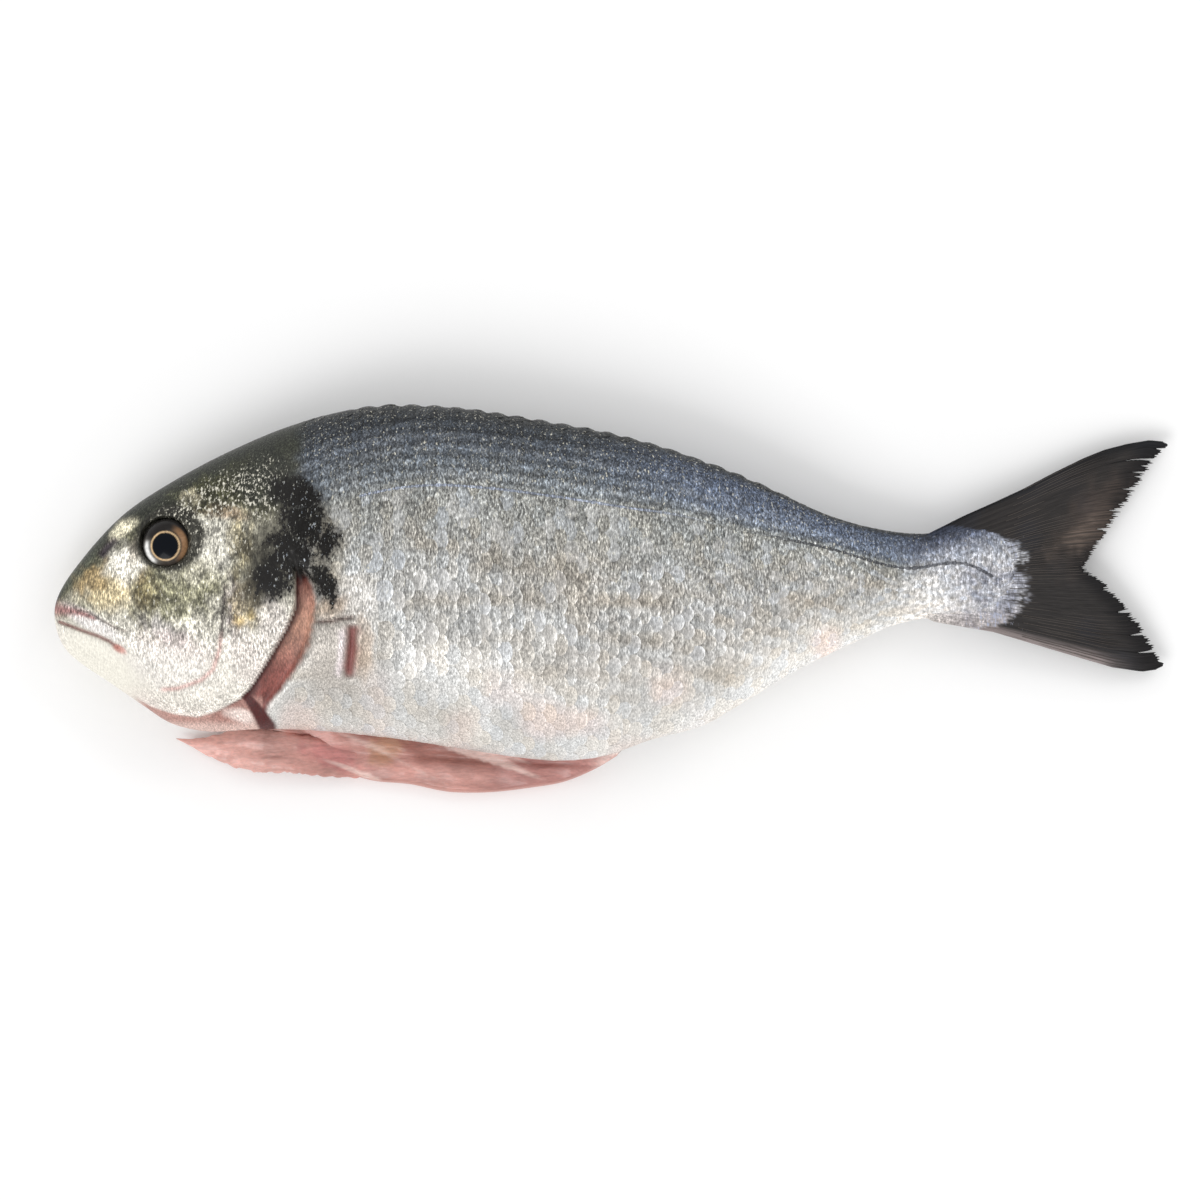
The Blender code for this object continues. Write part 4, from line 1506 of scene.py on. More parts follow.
@dataclass
class ScaleCoat:
    """Overlapping scales over one flank, draped on a carrier skin by Geometry Nodes.

    The carrier's UV map counts scale columns and rows. Plates are laid out in that map, and then
    each of their points goes to its own place on the carrier.
    """

    form: FishForm
    paint: FishPaint
    side: Side
    start: float = 70.0
    end: float = 284.5
    rows_above: float = 9.0
    rows_below: float = 14.0
    thickness: float = 0.13
    sway: float = 0.2
    seed: int = 4

    def column_at(self, distance: Array) -> Array:
        """Number of scale columns passed: 3.2 mm apart on the flank, closer towards the tail.

        Args:
            distance: Distances behind the snout.

        Returns:
            Columns passed.
        """
        fine = np.linspace(self.start, self.end, 600)
        pitch = np.interp(fine, (70, 95, 190, 245, 284), (2.3, 3.2, 3.1, 1.9, 1.45))
        passed = np.concatenate([[0], np.cumsum(np.diff(fine) / pitch[1:])])
        return np.interp(distance, fine, passed)

    @property
    def columns(self) -> int:
        """Number of scale columns."""
        return int(self.column_at(self.end)) + 1

    @property
    def rows(self) -> int:
        """Number of scale rows."""
        return int(self.rows_above + self.rows_below)

    def carrier(self) -> Piece:
        """The flank's skin as an open sheet, with its facing and how well scales hold there.

        Returns:
            The sheet.
        """
        form = self.form
        distance = np.linspace(self.start, self.end, 230)[:, None]
        last = math.pi - (0.03 if self.side is Side.LEFT else 0.14)
        angle = np.linspace(0.06, last, 130)[None, :]
        height, z = form.flank(distance, angle, self.side)
        x = form.snout_x + distance + np.zeros_like(height)
        points = np.stack([x, height, z], axis=-1)
        steps = np.linalg.norm(np.diff(points, axis=1), axis=2)
        girth = np.concatenate([np.zeros((len(points), 1)), np.cumsum(steps, axis=1)], axis=1)
        line = form.side_line(distance[:, 0])
        at_line = np.array([np.interp(-a, -b, c) for a, b, c in zip(line, height, girth)])[:, None]
        below = (girth - at_line) / (girth[:, -1:] - at_line)
        row = np.where(girth < at_line, self.rows_above * girth / at_line,
                       self.rows_above + self.rows_below * below)
        piece = MeshTools.grid("scale_carrier", points, closed=False, capped=False)
        column = self.column_at(distance) / self.columns + np.zeros_like(height)
        MeshTools.uv(piece, "coat", column, row / self.rows)
        facing = np.cross(np.gradient(points, axis=0), np.gradient(points, axis=1))
        facing *= -1 if self.side is Side.LEFT else 1
        facing /= np.maximum(np.linalg.norm(facing, axis=2, keepdims=True), 1e-9)
        MeshTools.store(piece.data, "facing", facing, "FLOAT_VECTOR", "vector")
        hold = np.zeros_like(points)
        hold[..., 0] = self.coverage(distance + np.zeros_like(height), height)
        hold[..., 1] = np.interp(distance, (190, 284), (1, 0.55))
        MeshTools.store(piece.data, "hold", hold, "FLOAT_VECTOR", "vector")
        return piece

    def coverage(self, distance: Array, height: Array) -> Array:
        """1 where scales grow, 0 on the head, the breast fin's stump and the bare fin.

        Args:
            distance: Distances behind the snout.
            height: Heights above the middle line.

        Returns:
            1 or 0 for each place.
        """
        first = np.where(height > 8, 72.5, np.where(height > -26, 95.5, 72))
        first = first + 3 * (soft_noise(distance, height, 4, 71) - 0.5)
        keep = (distance > first) & (self.paint.silver_root(distance, height) > 0.5)
        open_slit = self.form.gill_trough(distance, height) > 0.15
        return (keep & ~open_slit).astype(float)

    def plate(self) -> Piece:
        """One scale on a unit cell: a domed fan with a rounded rear edge and a closed underside.

        Returns:
            The scale, to be instanced.
        """
        along = (-0.5, 0.15, 0.6, 0.88, 1.0)
        across = np.linspace(-1, 1, 7)
        shape = bmesh.new()
        local = shape.verts.layers.float_vector.new("local")
        rim = shape.verts.layers.float.new("rim")
        top = []
        for s in along:
            for t in across:
                reach = 1.04 * s * (1 - 0.34 * abs(t) ** 2.3) if s > 0 else s
                half = 0.54 * (0.86 + 0.14 * math.sin(math.pi * (s + 0.5) / 1.5))
                level = 0.15 + 0.85 * (s + 0.5) / 1.5 + 0.15 * (1 - t * t) - 0.1 * t**4
                vertex = shape.verts.new((reach, t * half, 0))
                vertex[local] = (s, t, level)
                vertex[rim] = max(s, 0) ** 2
                top.append(vertex)
        wide = len(across)
        tall = len(along)
        for i in range(tall - 1):
            for j in range(wide - 1):
                a = i * wide + j
                shape.faces.new((top[a], top[a + wide], top[a + wide + 1], top[a + 1]))
        ring = [i * wide for i in range(tall)] + [(tall - 1) * wide + j for j in range(1, wide)]
        ring += [i * wide + wide - 1 for i in range(tall - 2, -1, -1)] + list(range(wide - 2, 0, -1))
        low = []
        for k in ring:
            vertex = shape.verts.new(top[k].co * 0.97)
            vertex[local] = (*top[k][local][:2], -0.9)
            vertex[rim] = 1.0
            low.append(vertex)
        for i, k in enumerate(ring):
            after = (i + 1) % len(ring)
            shape.faces.new((top[k], top[ring[after]], low[after], low[i]))
            shape.edges.get((top[k], top[ring[after]])).smooth = False
        shape.faces.new(low)
        bmesh.ops.recalc_face_normals(shape, faces=shape.faces)
        return MeshTools.keep(shape, "scale_plate")

    @staticmethod
    def sample(graph: Graph, enter: Node, value: Socket, at: Socket) -> Node:
        """A Sample UV Surface node on the carrier.

        Args:
            graph: The tree's graph.
            enter: Its input node.
            value: What to look up.
            at: The place in the UV map.

        Returns:
            The node.
        """
        node = graph.add("GeometryNodeSampleUVSurface", {"Mesh": enter.outputs["Geometry"], "Value": value,
            "UV Map": graph.named("coat"), "Sample UV": at}, data_type="FLOAT_VECTOR")
        return node

    def tree(self) -> Graph:
        """The tree that sets scales out in staggered columns and drapes them.

        Returns:
            A graph with Plate, Material, Columns, Rows, Thickness, Sway and Seed inputs.
        """
        graph, enter, leave = MeshTools.tree("scale_rows", {
            "Plate": "Object", "Material": "Material", "Columns": "Int", "Rows": "Int",
            "Thickness": "Float", "Sway": "Float", "Seed": "Int"})
        columns, rows, seed = (enter.outputs[name] for name in ("Columns", "Rows", "Seed"))
        lattice = graph.add("GeometryNodeMeshGrid", {"Vertices X": columns, "Vertices Y": rows})
        last_column, last_row = graph.maths("SUBTRACT", columns, 1.0), graph.maths("SUBTRACT", rows, 1.0)
        graph.wire(lattice, {"Size X": last_column, "Size Y": last_row})
        x, y, _ = graph.split(graph.add("GeometryNodeInputPosition").outputs[0])
        column = graph.maths("ROUND", graph.maths("MULTIPLY_ADD", last_column, 0.5, x))
        row = graph.maths("MULTIPLY_ADD", last_row, 0.5, y)
        stagger = graph.times(graph.maths("MODULO", column, 2.0), 0.5)
        drift = graph.split(graph.random((-0.12, -0.08, -1.0), (0.12, 0.08, 1.0), seed))
        u = graph.maths("DIVIDE", graph.maths("ADD", column, drift[0]), columns)
        v = graph.maths("ADD", graph.maths("ADD", row, stagger), drift[1])
        spread = graph.add("GeometryNodeSetPosition", {"Geometry": lattice.outputs["Mesh"],
            "Position": graph.vector(u, graph.maths("DIVIDE", v, rows), 0.0)})
        here = graph.add("GeometryNodeInputPosition").outputs[0]
        held = self.sample(graph, enter, graph.named("hold"), here)
        holds = graph.maths("GREATER_THAN", graph.split(held.outputs["Value"])[0], 0.5)
        lay = graph.add("GeometryNodeInstanceOnPoints", {"Points": spread.outputs["Geometry"],
            "Selection": graph.times(held.outputs["Is Valid"], holds)})
        plate = graph.add("GeometryNodeObjectInfo", {"Object": enter.outputs["Plate"]})
        graph.feed(lay.inputs["Instance"], plate.outputs["Geometry"])
        cell = graph.vector(graph.maths("DIVIDE", 1.0, columns), graph.maths("DIVIDE", 1.0, rows), 1.0)
        graph.feed(lay.inputs["Scale"], cell)
        made = lay.outputs["Instances"]
        chances = {"scale_id": ("FLOAT", graph.random(0.0, 1.0, seed, "FLOAT")),
                   "lean": ("FLOAT_VECTOR", graph.random((-1,) * 3, (1,) * 3, seed))}
        for name, (kind, value) in chances.items():
            mark = graph.add("GeometryNodeStoreNamedAttribute", {"Name": name, "Geometry": made,
                "Value": value}, data_type=kind, domain="INSTANCE")
            made = mark.outputs["Geometry"]
        solid = graph.add("GeometryNodeRealizeInstances", {"Geometry": made})
        limit = [graph.maths("MINIMUM", graph.maths("MAXIMUM", part, 0.002), 0.998)
                 for part in graph.split(here)[:2]]
        at = graph.vector(*limit, 0.0)
        carrier_place = graph.add("GeometryNodeInputPosition").outputs[0]
        home = self.sample(graph, enter, carrier_place, at)
        facing = self.sample(graph, enter, graph.named("facing"), at)
        size = graph.split(self.sample(graph, enter, graph.named("hold"), at).outputs["Value"])[1]
        local, lean = graph.split(graph.named("local")), graph.split(graph.named("lean"))
        tipped = graph.maths("MULTIPLY_ADD", local[0], lean[0], graph.times(local[1], lean[1]))
        level = graph.maths("MULTIPLY_ADD", tipped, enter.outputs["Sway"], local[2])
        level = graph.times(graph.times(level, enter.outputs["Thickness"]), size)
        drape = graph.add("GeometryNodeSetPosition", {"Geometry": solid.outputs["Geometry"],
            "Position": home.outputs["Value"], "Offset": graph.scaled(facing.outputs["Value"], level)})
        MeshTools.finish_tree(graph, enter, leave, drape.outputs["Geometry"])
        return graph

    def build(self) -> Piece:
        """Lays the scales and paints each one.

        Returns:
            The finished piece.
        """
        plate = self.plate()
        finish = SkinFinish("scales_" + self.side.label + "_finish").build()
        settings = {"Plate": plate, "Material": finish, "Columns": self.columns, "Rows": self.rows,
                    "Thickness": self.thickness * MM, "Sway": self.sway, "Seed": self.seed}
        piece = MeshTools.run(self.carrier(), self.tree(), settings, "scales_" + self.side.label)
        bpy.data.objects.remove(plate)
        MeshTools.tidy(piece.data)
        self.dress(piece)
        return piece

    def dress(self, piece: Piece) -> None:
        """Paints the scales: painted glints as pale rims low on the flank, painted shade as dark rims near
        the back.

        Args:
            piece: The piece.
        """
        distance, height = self.form.places(piece)
        marks = self.paint.skin(distance, height)
        tint = marks.pop("tint")
        rim, luck = MeshTools.numbers(piece, "rim"), MeshTools.numbers(piece, "scale_id")
        line = self.form.side_line(distance)
        low = ease(-3, 30, line - height)
        calm = 1 - 0.75 * ease(0.5, 0.9, self.paint.below_line(distance, height))
        # Edge is painted light and shade on each scale's rear rim: a pale painted glint low on the flank,
        # dark painted shade near the back, plus a random tone for each scale.
        edge = ((rim - 0.35) * (1.0 * low - 0.8 * (1 - low)) + 0.45 * (luck - 0.5)) * calm
        clear = (luck > 0.72) * ease(-2, 4, line - height) * calm
        marks["grain"] = marks["grain"] * (1 - 0.35 * clear)
        tint = self.paint.over(tint, (190, 194, 202), 0.22 * clear)
        cool = (luck * 7.3) % 1 - 0.5
        hue = np.stack([1 - 0.06 * cool, np.ones_like(cool), 1 + 0.08 * cool], axis=1)
        MeshTools.dye(piece, tint * hue, edge=edge, **marks)


@dataclass
class SideLine:
    """The row of small pored tubes along the flank's middle, laid by Geometry Nodes."""

    form: FishForm
    paint: FishPaint
    side: Side
    first: float = 92.0
    last: float = 277.0
    bead_gap: float = 2.0
    radius: float = 0.52
    lift: float = 0.12
    path_points: int = 120

    def carrier(self) -> Piece:
        """A chain of points along the line, just above the scales.

        Returns:
            The chain.
        """
        stations = np.linspace(self.first, self.last, self.path_points)
        heights = self.form.side_line(stations)
        lift = self.lift * self.side.value
        rows = [(self.form.snout_x + distance, height, self.form.level(distance, height, self.side) + lift)
                for distance, height in zip(stations, heights)]
        mesh = bpy.data.meshes.new("side_line_path")
        links = [(i, i + 1) for i in range(len(rows) - 1)]
        mesh.from_pydata((np.array(rows) * MM).tolist(), links, [])
        return MeshTools.link(bpy.data.objects.new("side_line_path", mesh))

    def tree(self) -> Graph:
        """The tree that sets a bead on every step, with Gap, Radius and Material inputs.

        Returns:
            The tree's graph.
        """
        graph, enter, leave = MeshTools.tree("beads_along_line", {
            "Gap": "Float", "Radius": "Float", "Material": "Material"})
        line = graph.add("GeometryNodeMeshToCurve", {"Mesh": enter.outputs["Geometry"]})
        steps = graph.add("GeometryNodeResampleCurve", {"Curve": line.outputs["Curve"],
            "Length": enter.outputs["Gap"]}, mode="LENGTH")
        bead = graph.add("GeometryNodeMeshUVSphere", {"Segments": 10, "Rings": 6,
            "Radius": enter.outputs["Radius"]})
        lay = graph.add("GeometryNodeInstanceOnPoints", {"Points": steps.outputs["Curve"],
            "Instance": bead.outputs["Mesh"]})
        aim = graph.add("FunctionNodeAlignRotationToVector", {
            "Vector": graph.add("GeometryNodeInputTangent").outputs[0]}, axis="X")
        graph.feed(lay.inputs["Rotation"], aim.outputs[0])
        size = graph.random((2.0, 0.7, 0.42), (2.9, 1.1, 0.62), 3)
        graph.feed(lay.inputs["Scale"], size)
        MeshTools.finish_tree(graph, enter, leave, lay.outputs["Instances"])
        return graph

    def build(self) -> Piece:
        """Lays the beads and paints them: pale blue in front, dark on the tail.

        Returns:
            The finished piece.
        """
        finish = SkinFinish("side_line_" + self.side.label + "_finish").build()
        settings = {"Gap": self.bead_gap * MM, "Radius": self.radius * MM, "Material": finish}
        piece = MeshTools.run(self.carrier(), self.tree(), settings, "side_line_" + self.side.label)
        piece.data.shade_smooth()
        distance, height = self.form.places(piece)
        marks = self.paint.skin(distance, height)
        front = 1 - ease(170, 200, distance)
        tint = self.paint.over(marks.pop("tint"), (138, 146, 164), 0.75 * front)
        tint = self.paint.over(tint, (64, 66, 72), 0.8 * ease(196, 225, distance))
        MeshTools.dye(piece, tint, edge=np.zeros(len(distance)), **marks)
        return piece


@dataclass
class TailFin:
    """The forked tail fin: a thin dark membrane with fine ridges and a ragged, split margin."""

    form: FishForm
    paint: FishPaint
    ray_count: int = 22
    columns: int = 441
    steps: int = 60
    base_half: float = 2.2
    tip_half: float = 0.5
    ray_trim: float = 0.015
    web_trim: float = 0.06
    splits: tuple[tuple[float, float], ...] = (
        (0.03, 0.06), (0.075, 0.1), (0.13, 0.05), (0.2, 0.05), (0.29, 0.04),
        (0.37, 0.05), (0.66, 0.03), (0.76, 0.04), (0.86, 0.06), (0.93, 0.07), (0.972, 0.04))
    upper: tuple[Pair, ...] = (
        (256, 18.4), (262, 21.4), (269, 24.9), (278, 28.9), (286.9, 33), (296, 37.8), (304.6, 42),
        (311, 44.6), (317.9, 46.4), (324.5, 47.5), (331, 46.9))
    lower: tuple[Pair, ...] = (
        (256, -4.4), (260.3, -6.5), (278, -9.5), (295.7, -14.8), (313.4, -20), (322.3, -21.3),
        (328.8, -20.4))
    margin: tuple[Pair, ...] = (
        (331, 46.9), (328.4, 42.6), (322.6, 33.8), (313.6, 20.8), (306.8, 11), (306, 9.8),
        (313.4, 4.4), (322.3, -5.6), (327.4, -13.6), (329.2, -18.4), (328.8, -20.4))

    @staticmethod
    def edge_point(points: tuple[Pair, ...], share: Array) -> Array:
        """Points that share of the way along a line, by length.

        Args:
            points: The line's points.
            share: Share of the line's length, from its first point.

        Returns:
            Distance and height of each point.
        """
        line = np.array(points, float)
        steps = np.linalg.norm(np.diff(line, axis=0), axis=1)
        passed = np.concatenate([[0], np.cumsum(steps)]) / steps.sum()
        return np.stack([np.interp(share, passed, line[:, k]) for k in (0, 1)], axis=-1)

    def point(self, across: Array, along: Array) -> Array:
        """Distance and height on the fin: across 0 is the upper edge, along 1 the margin.

        Args:
            across: 0 at the fin's upper edge, 1 at its lower one.
            along: 0 at the root, 1 at the margin.

        Returns:
            Distance and height of each place.
        """
        across, along = np.broadcast_arrays(across, along)
        upper, lower = self.edge_point(self.upper, along), self.edge_point(self.lower, along)
        root = self.edge_point((self.upper[0], self.lower[0]), across)
        rear = self.edge_point(self.margin, across)
        along, across = along[..., None], across[..., None]
        up = np.array(self.upper[0]) * (1 - along) + np.array(self.upper[-1]) * along
        low = np.array(self.lower[0]) * (1 - along) + np.array(self.lower[-1]) * along
        plain = root * (1 - along) + rear * along
        return plain + (1 - across) ** 2 * (upper - up) + across**2 * (lower - low)

    def trim(self, across: Array) -> Array:
        """Share of each ray's length that the ragged margin lacks.

        Args:
            across: 0 at the fin's upper edge, 1 at its lower one.

        Returns:
            Shares of a ray's length.
        """
        phase = across * self.ray_count
        fine = 0.5 - 0.5 * np.cos(4 * math.pi * phase)
        finest = 0.5 - 0.5 * np.cos(10 * math.pi * phase + 3 * soft_noise(phase, 0, 2.0, 61))
        tooth = 0.4 * fine + 0.6 * finest
        wild = 0.3 + 0.8 * soft_noise(phase, 0, 0.45, 62)
        made = self.ray_trim + (self.web_trim - self.ray_trim) * tooth * wild
        for place, depth in self.splits:
            made = made + depth * np.exp(-((across - place) / 0.0032) ** 2)
        edge = np.minimum(across, 1 - across)
        return made * ease(0.0, 0.07, edge) + 0.03 * np.exp(-((edge / 0.007) ** 2))

    def build(self) -> Piece:
        """Makes the membrane and paints it.

        Returns:
            The finished piece.
        """
        across = np.linspace(0, 1, self.columns)[None, :]
        along = np.linspace(0, 1, self.steps)[:, None] ** 0.8
        flat = self.point(across, along * (1 - self.trim(across)))
        phase = across * self.ray_count + 0.3 * soft_noise(across * 22, along, 1.7, 66)
        late = ease(0.35, 0.8, along)
        coarse = 0.5 + 0.5 * np.cos(2 * math.pi * phase)
        fine = 0.5 + 0.25 * np.cos(4 * math.pi * phase) + 0.25 * np.cos(8 * math.pi * phase)
        ridge = coarse * (1 - late) + fine * late
        half = (self.base_half + (self.tip_half - self.base_half) * along**0.6) * (0.84 + 0.24 * ridge)
        half[:, (0, -1)] *= 0.3
        half[(0, -1), :] = 0
        ripple = 0.6 * (soft_noise(flat[..., 0], flat[..., 1], 14, 63) - 0.5)
        level = self.form.mid_height(flat[..., 0]) + ripple * ease(0.3, 1, along)
        x = self.form.snout_x + flat[..., 0]
        top = np.stack([x, flat[..., 1], level + half], axis=-1)
        under = np.stack([x, flat[..., 1], level - half], axis=-1)[:, ::-1]
        marks = {"across": across, "along": along, "ridge": ridge}
        values = {}
        for name, numbers in marks.items():
            full = np.broadcast_to(numbers, half.shape)
            values[name] = np.concatenate([full, full[:, ::-1]], axis=1)
        points = np.concatenate([top, under], axis=1)
        piece = MeshTools.grid("tail_fin", points, capped=False, weld=0.001, values=values)
        self.dress(piece)
        return piece

    def dress(self, piece: Piece) -> None:
        """Paints the membrane dark, paler between the rays, with silver specks at the root.

        Args:
            piece: The piece.
        """
        over = self.paint.over
        distance, height = self.form.places(piece)
        across, along, ridge = (MeshTools.numbers(piece, name) for name in ("across", "along", "ridge"))
        MeshTools.uv(piece, "rays", along, across)
        tint = plain_tint((46, 43, 42), distance)
        tint = over(tint, (32, 30, 31), 0.5 * (1 - ridge))
        cloud = soft_noise(distance, height, 9, 64)
        tint = over(tint, (40, 40, 44), 0.7 * ease(0.5, 0.9, cloud))
        brown = Patch((309, 24), (14, 7), 55, 0.7, 0.5).mask(distance, height)
        tint = over(tint, (90, 76, 68), 0.38 * brown)
        pale = Patch((306, 20), (12, 3.4), 30, 0.6, 0.8).mask(distance, height)
        tint = over(tint, (142, 124, 112), 0.55 * pale * (1 - ridge))
        tips = ease(0.86, 0.97, along) * (1 - 0.5 * brown)
        tint = over(tint, (16, 14, 16), 0.9 * tips)
        tint = over(tint, (14, 16, 20), 0.9 * (1 - ease(0.0, 0.06, across)))
        low = ease(0.93, 0.99, across) * (1 - ease(0.7, 0.9, along))
        tint = over(tint, (158, 146, 144), 0.7 * low)
        root = self.paint.silver_root(distance, height)
        silver = self.paint.tail_tint(distance + 4, height, tint)
        tint = tint + (silver - tint) * root[:, None]
        near = (1 - ease(0, 7, distance - 283)) * ease(264, 278, distance)
        fleck = near * (0.25 + 0.75 * root) * (1 - ease(18, 23, height))
        MeshTools.dye(piece, tint, fleck=fleck, silver=root)
        piece.data.materials.append(FinFinish("dark_fin").build())


@dataclass
class FinRays:
    """Fine bony rays along the tail fin, drawn as tubes by Geometry Nodes."""

    fin: TailFin
    count: int = 62
    radius: float = 0.13
    sides: int = 6
    points: int = 15

    def carrier(self) -> Piece:
        """Chains of points along each ray, with the tube's size at each point.

        Returns:
            The chains.
        """
        fin = self.fin
        shape = bmesh.new()
        size = shape.verts.layers.float.new("thickness")
        for ray in range(self.count):
            across = (ray + 0.5 + 0.25 * math.sin(7.7 * ray)) / self.count
            start = 0.42 + 0.03 * math.sin(3.3 * ray)
            reach = 1.0 - float(fin.trim(np.array(across))) - 0.03
            along = np.linspace(start, reach, self.points)
            half = fin.base_half + (fin.tip_half - fin.base_half) * along**0.6
            before = None
            for (distance, height), thick in zip(fin.point(np.array(across), along), half):
                level = float(fin.form.mid_height(distance)) + thick * 0.9
                place = Vector((fin.form.snout_x + distance, height, level)) * MM
                vertex = shape.verts.new(place)
                vertex[size] = 0.4 + 0.6 * thick / fin.base_half
                if before:
                    shape.edges.new((before, vertex))
                before = vertex
        return MeshTools.keep(shape, "ray_lines")

    def tree(self) -> Graph:
        """The tree that gives each line its tube, with Radius, Sides and Material inputs.

        Returns:
            The tree's graph.
        """
        graph, enter, leave = MeshTools.tree("ray_tubes", {
            "Radius": "Float", "Sides": "Int", "Material": "Material"})
        lines = graph.add("GeometryNodeMeshToCurve", {"Mesh": enter.outputs["Geometry"]})
        ring = graph.add("GeometryNodeCurvePrimitiveCircle", {"Resolution": enter.outputs["Sides"],
            "Radius": enter.outputs["Radius"]})
        tube = graph.add("GeometryNodeCurveToMesh", {"Fill Caps": True, "Curve": lines.outputs["Curve"],
            "Profile Curve": ring.outputs["Curve"], "Scale": graph.named("thickness", "FLOAT")})
        MeshTools.finish_tree(graph, enter, leave, tube.outputs["Mesh"])
        return graph

    def build(self) -> Piece:
        """Makes the rays and paints them a little paler than the membrane.

        Returns:
            The finished piece.
        """
        finish = FinFinish("fin_ray").build()
        settings = {"Radius": self.radius * MM, "Sides": self.sides, "Material": finish}
        piece = MeshTools.run(self.carrier(), self.tree(), settings, "tail_rays")
        distance, height = self.fin.form.places(piece)
        tint = plain_tint((78, 72, 68), distance)
        tint = self.fin.paint.over(tint, (36, 34, 34), ease(304, 322, distance + 0.15 * height))
        MeshTools.dye(piece, tint, fleck=0 * distance, silver=0 * distance)
        return piece


@dataclass
class Eye:
    """One eyeball: a flattened ball whose rings are painted by distance from the pupil."""

    form: FishForm
    side: Side
    thickness: float = 5.0
    pupil_shift: Pair = (-0.4, -0.7)
    pupil: float = 3.95
    ring: float = 0.45
    iris: float = 6.6
    behind_iris: float = 9.0
    slope_step: float = 4.0
    segments: int = 96
    rings: int = 72

    def facing(self) -> Vector:
        """The way the plain flank faces at the eye.

        Returns:
            A unit vector.
        """
        distance, height = self.form.eye_place
        steps = (self.slope_step, -self.slope_step)
        ahead, behind = (self.form.level(distance + step, height, self.side) for step in steps)
        above, below = (self.form.level(distance, height + step, self.side) for step in steps)
        run = 2 * self.slope_step
        normal = Vector((-(ahead - behind) / run, -(above - below) / run, 1)) * self.side.value
        return normal.normalized()

    def build(self) -> Piece:
        """Makes the eyeball in the place of its solid.

        Returns:
            The finished piece.
        """
        low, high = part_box("eye_" + self.side.label)
        centre = (Vector(low) + Vector(high)) / 2
        facing = self.facing()
        turn = facing.to_track_quat("Z", "Y").to_matrix().to_4x4()
        across = self.form.eye_radius * MM
        size = Matrix.Diagonal((across, across, self.thickness * MM, 1))
        shape = bmesh.new()
        bmesh.ops.create_uvsphere(shape, u_segments=self.segments, v_segments=self.rings, radius=1)
        bmesh.ops.transform(shape, matrix=Matrix.Translation(centre) @ turn @ size, verts=shape.verts)
        radius = shape.verts.layers.float.new("radius")
        angle = shape.verts.layers.float.new("angle")
        for vertex in shape.verts:
            off = (vertex.co - centre) / MM
            east, north = off.x - self.pupil_shift[0], off.y - self.pupil_shift[1]
            vertex[radius] = math.hypot(east, north) if off.dot(facing) > 0 else self.behind_iris
            vertex[angle] = math.atan2(north, east)
        piece = MeshTools.keep(shape, "eyeball_" + self.side.label)
        self.dress(piece)
        return piece

    def dress(self, piece: Piece) -> None:
        """Paints pupil, gold ring, iris, a painted highlight and dark rim.

        Args:
            piece: The piece.
        """
        over = FishPaint.over
        radius, angle = (MeshTools.numbers(piece, name) for name in ("radius", "angle"))
        tint = plain_tint((66, 60, 54), radius)
        tint = over(tint, (28, 26, 26), 0.9 * ease(0.0, 0.9, np.cos(angle - 1.9)))
        bronze = ease(0.35, 0.95, np.cos(angle - 0.15)) * ease(4.5, 5.2, radius)
        tint = over(tint, (156, 118, 84), 0.8 * bronze)
        tint = over(tint, (118, 114, 108), 0.7 * ease(0.5, 0.95, np.cos(angle + 2.7)))
        # Painted highlight: a near-white crescent on the lower-left of the iris, where the key light's
        # reflection would sit.
        painted_highlight = np.exp(-(((radius - self.iris + 1.0) / 0.55) ** 2))
        painted_highlight = painted_highlight * ease(0.72, 0.95, np.cos(angle + 2.75))
        tint = over(tint, (250, 249, 246), np.clip(1.4 * painted_highlight, 0, 1))
        tint = over(tint, (36, 34, 33), ease(self.iris - 0.4, self.iris + 0.4, radius))
        edge = self.pupil + self.ring
        tint = over(tint, (208, 178, 138), 1 - ease(edge - 0.15, edge + 0.15, radius))
        tint = over(tint, (1, 5, 14), 1 - ease(self.pupil - 0.15, self.pupil + 0.1, radius))
        MeshTools.dye(piece, tint)
        piece.data.materials.append(EyeFinish("glossy_" + piece.name).build())


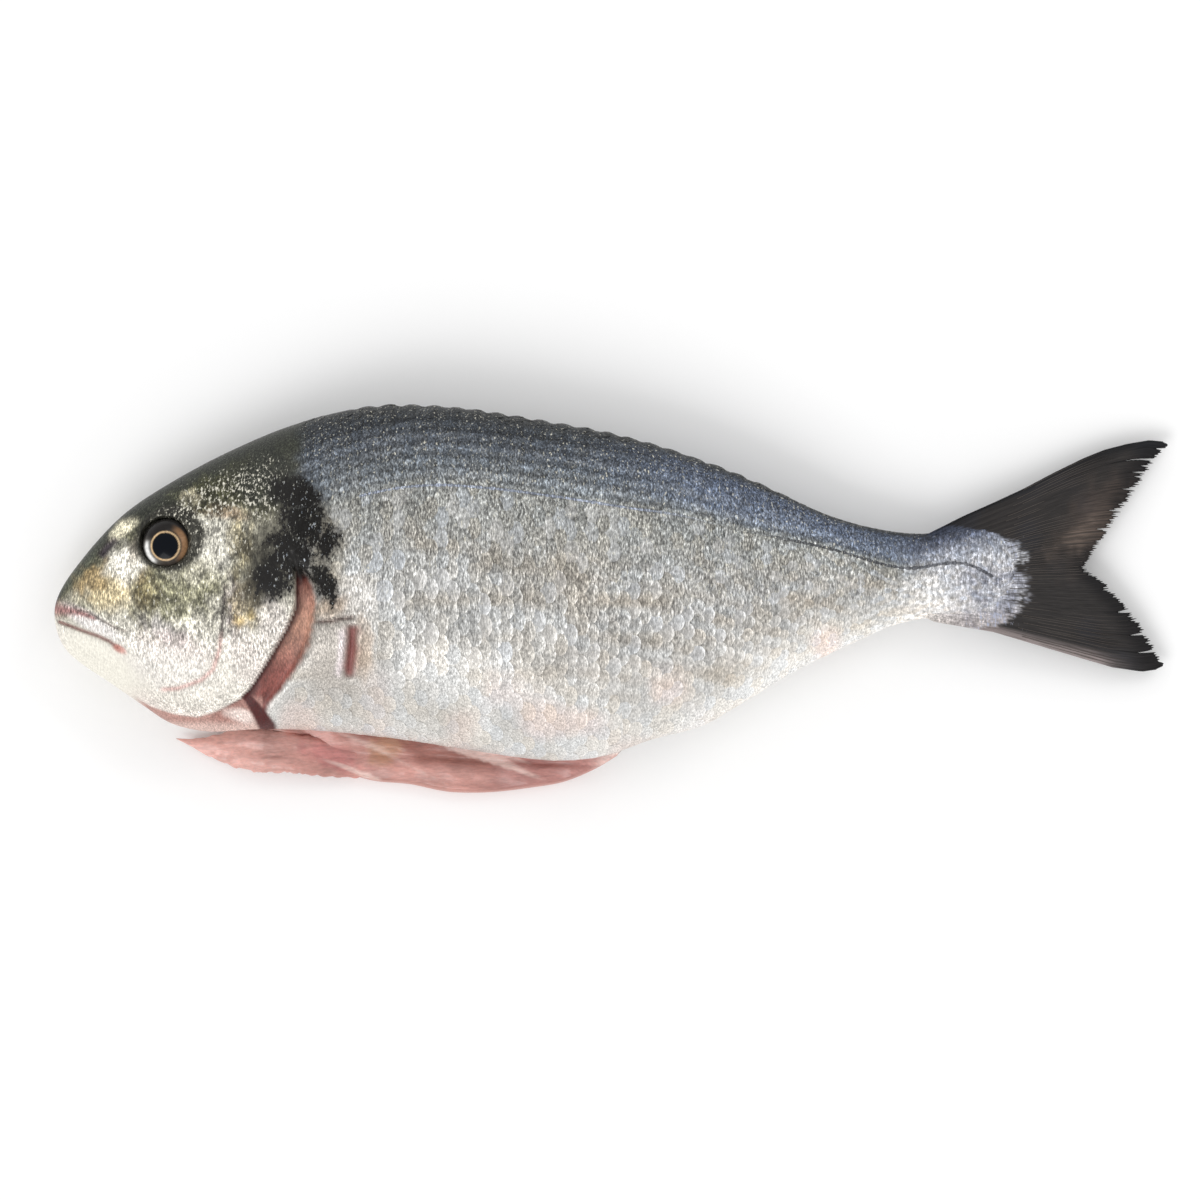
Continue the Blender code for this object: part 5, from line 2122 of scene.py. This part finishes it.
@dataclass
class ThroatFlesh:
    """The pointed strip of pink throat flesh that lies forward of the belly cut."""

    form: FishForm
    paint: FishPaint
    centre: Profile = Profile((
        (35, -41.1), (40, -42.5), (46.6, -43.7), (52, -44), (58, -44.3), (66, -44.8), (74, -46),
        (84, -47.6), (92, -49.2), (100, -50)))
    half: Profile = Profile((
        (35, 0), (40, 1.2), (46.6, 3.5), (52, 5.3), (58, 6.7), (66, 6.5), (74, 6.0), (84, 5.0),
        (92, 3.6), (100, 0)))
    flatness: float = 0.34
    end: float = 99.7
    rings: int = 170
    around: int = 110

    def build(self) -> Piece:
        """Makes the strip and paints it.

        Returns:
            The finished piece.
        """
        distance = np.linspace(35.15, self.end, self.rings)[:, None]
        turn = np.linspace(0, 2 * math.pi, self.around, endpoint=False)[None, :]
        middle, reach = self.centre(distance), np.maximum(self.half(distance), 0.02)
        side = np.sign(np.cos(turn)) * 9
        ragged = 1 + 0.13 * (soft_noise(distance, side, 2.2, 51) - 0.5)
        ragged = ragged + 0.07 * (soft_noise(distance, side, 0.9, 54) - 0.5)
        height = middle + reach * ragged * np.cos(turn)
        level = 2.6 + 3.0 * ease(48, 62, distance) - 1.8 * ease(68, 90, distance)
        thick = self.flatness * reach * np.sign(np.sin(turn)) * np.abs(np.sin(turn)) ** 0.6
        folds = soft_noise(distance / 3.2 + height / 2, height, 3.2, 52) - 0.5
        folds = folds + 0.2 * (soft_noise(distance, height, 1.4, 53) - 0.5)
        upper = np.clip(np.sin(turn), 0, 1) * ease(0, 4, reach)
        z = np.maximum(level + thick + 1.3 * folds * upper, 0.3)
        x = self.form.snout_x + distance + np.zeros_like(height)
        piece = MeshTools.grid("throat_flesh", np.stack([x, height, z], axis=-1))
        MeshTools.dye(piece, self.paint.flesh(*self.form.places(piece)))
        piece.data.materials.append(FleshFinish("throat_flesh", coat=0.45).build())
        return piece


@dataclass
class Studio:
    """Pale floor, soft lights and a camera that looks straight down."""

    photo_centre: Pair = (-3.69, 0.0)
    photo_width: float = 354.5
    plane: float = 19.0
    lens: float = 250.0
    sensor: float = 36.0
    world_light: float = 0.78

    def floor(self) -> None:
        """The plain surface that the fish lies on."""
        bpy.ops.mesh.primitive_plane_add(size=6.0, location=(0, 0, -0.0002))
        floor = bpy.context.active_object
        floor.name = "floor"
        material = bpy.data.materials.new("pale_floor")
        material.use_nodes = True
        shader = material.node_tree.nodes["Principled BSDF"]
        shader.inputs["Base Color"].default_value = (0.97, 0.97, 0.97, 1)
        shader.inputs["Roughness"].default_value = 0.9
        floor.data.materials.append(material)

    def camera(self) -> None:
        """The camera, as far up as its lens needs for the photo's width."""
        data = bpy.data.cameras.new("camera")
        data.lens, data.sensor_width = self.lens, self.sensor
        away = self.photo_width * self.lens / self.sensor
        camera = MeshTools.link(bpy.data.objects.new("camera", data))
        camera.location = Vector((*self.photo_centre, self.plane + away)) * MM
        bpy.context.scene.camera = camera

    @staticmethod
    def lamp(name: str, place: Colour, size: Pair, power: float) -> None:
        """A softbox aimed at the fish.

        Args:
            name: The light's name.
            place: Where it is, in metres.
            size: Its width and height, in metres.
            power: Its power in watts.
        """
        data = bpy.data.lights.new(name, "AREA")
        data.shape = "RECTANGLE"
        data.size, data.size_y = size
        data.energy = power
        lamp = MeshTools.link(bpy.data.objects.new(name, data))
        lamp.location = place
        lamp.rotation_mode = "QUATERNION"
        lamp.rotation_quaternion = (-Vector(place)).to_track_quat("-Z", "Y")

    def build(self) -> None:
        """Sets up the stage."""
        self.floor()
        self.camera()
        self.lamp("key", (-1.1, -1.6, 2.0), (1.8, 1.4), 26.0)
        self.lamp("fill", (0.9, 0.9, 1.2), (0.9, 0.5), 3.0)
        self.lamp("rim", (-0.3, 1.1, 0.7), (0.8, 0.25), 0.8)
        world = bpy.data.worlds.new("soft_room")
        world.use_nodes = True
        background = world.node_tree.nodes["Background"]
        background.inputs["Color"].default_value = (1, 1, 1, 1)
        background.inputs["Strength"].default_value = self.world_light
        bpy.context.scene.world = world
        bpy.context.scene.view_settings.view_transform = "Standard"


def main() -> None:
    """Builds the fish piece by piece and sets the stage."""
    logging.basicConfig(level=logging.INFO, format="%(message)s")
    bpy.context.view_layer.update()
    form = FishForm()
    paint = FishPaint(form)
    fin = TailFin(form, paint)
    parts = [(BodySkin(form, paint), "skin", "bream"), (fin, "fin", "bream"),
             (FinRays(fin), "fin", "bream"), (ThroatFlesh(form, paint), "flesh", "bream"),
             (ScaleCoat(form, paint, Side.LEFT), "skin", "bream"),
             (ScaleCoat(form, paint, Side.RIGHT, seed=9), "skin", "bream"),
             (SideLine(form, paint, Side.LEFT), "skin", "bream"),
             (SideLine(form, paint, Side.RIGHT), "skin", "bream"),
             (Eye(form, Side.LEFT), "eye", "eye_left"), (Eye(form, Side.RIGHT), "eye", "eye_right")]
    for part, slot, node in parts:
        piece = part.build()
        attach(piece, "root")
        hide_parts(node)
        LOG.info("%s: %d faces", piece.name, len(piece.data.polygons))
    Studio().build()


if __name__ == "__main__":
    main()
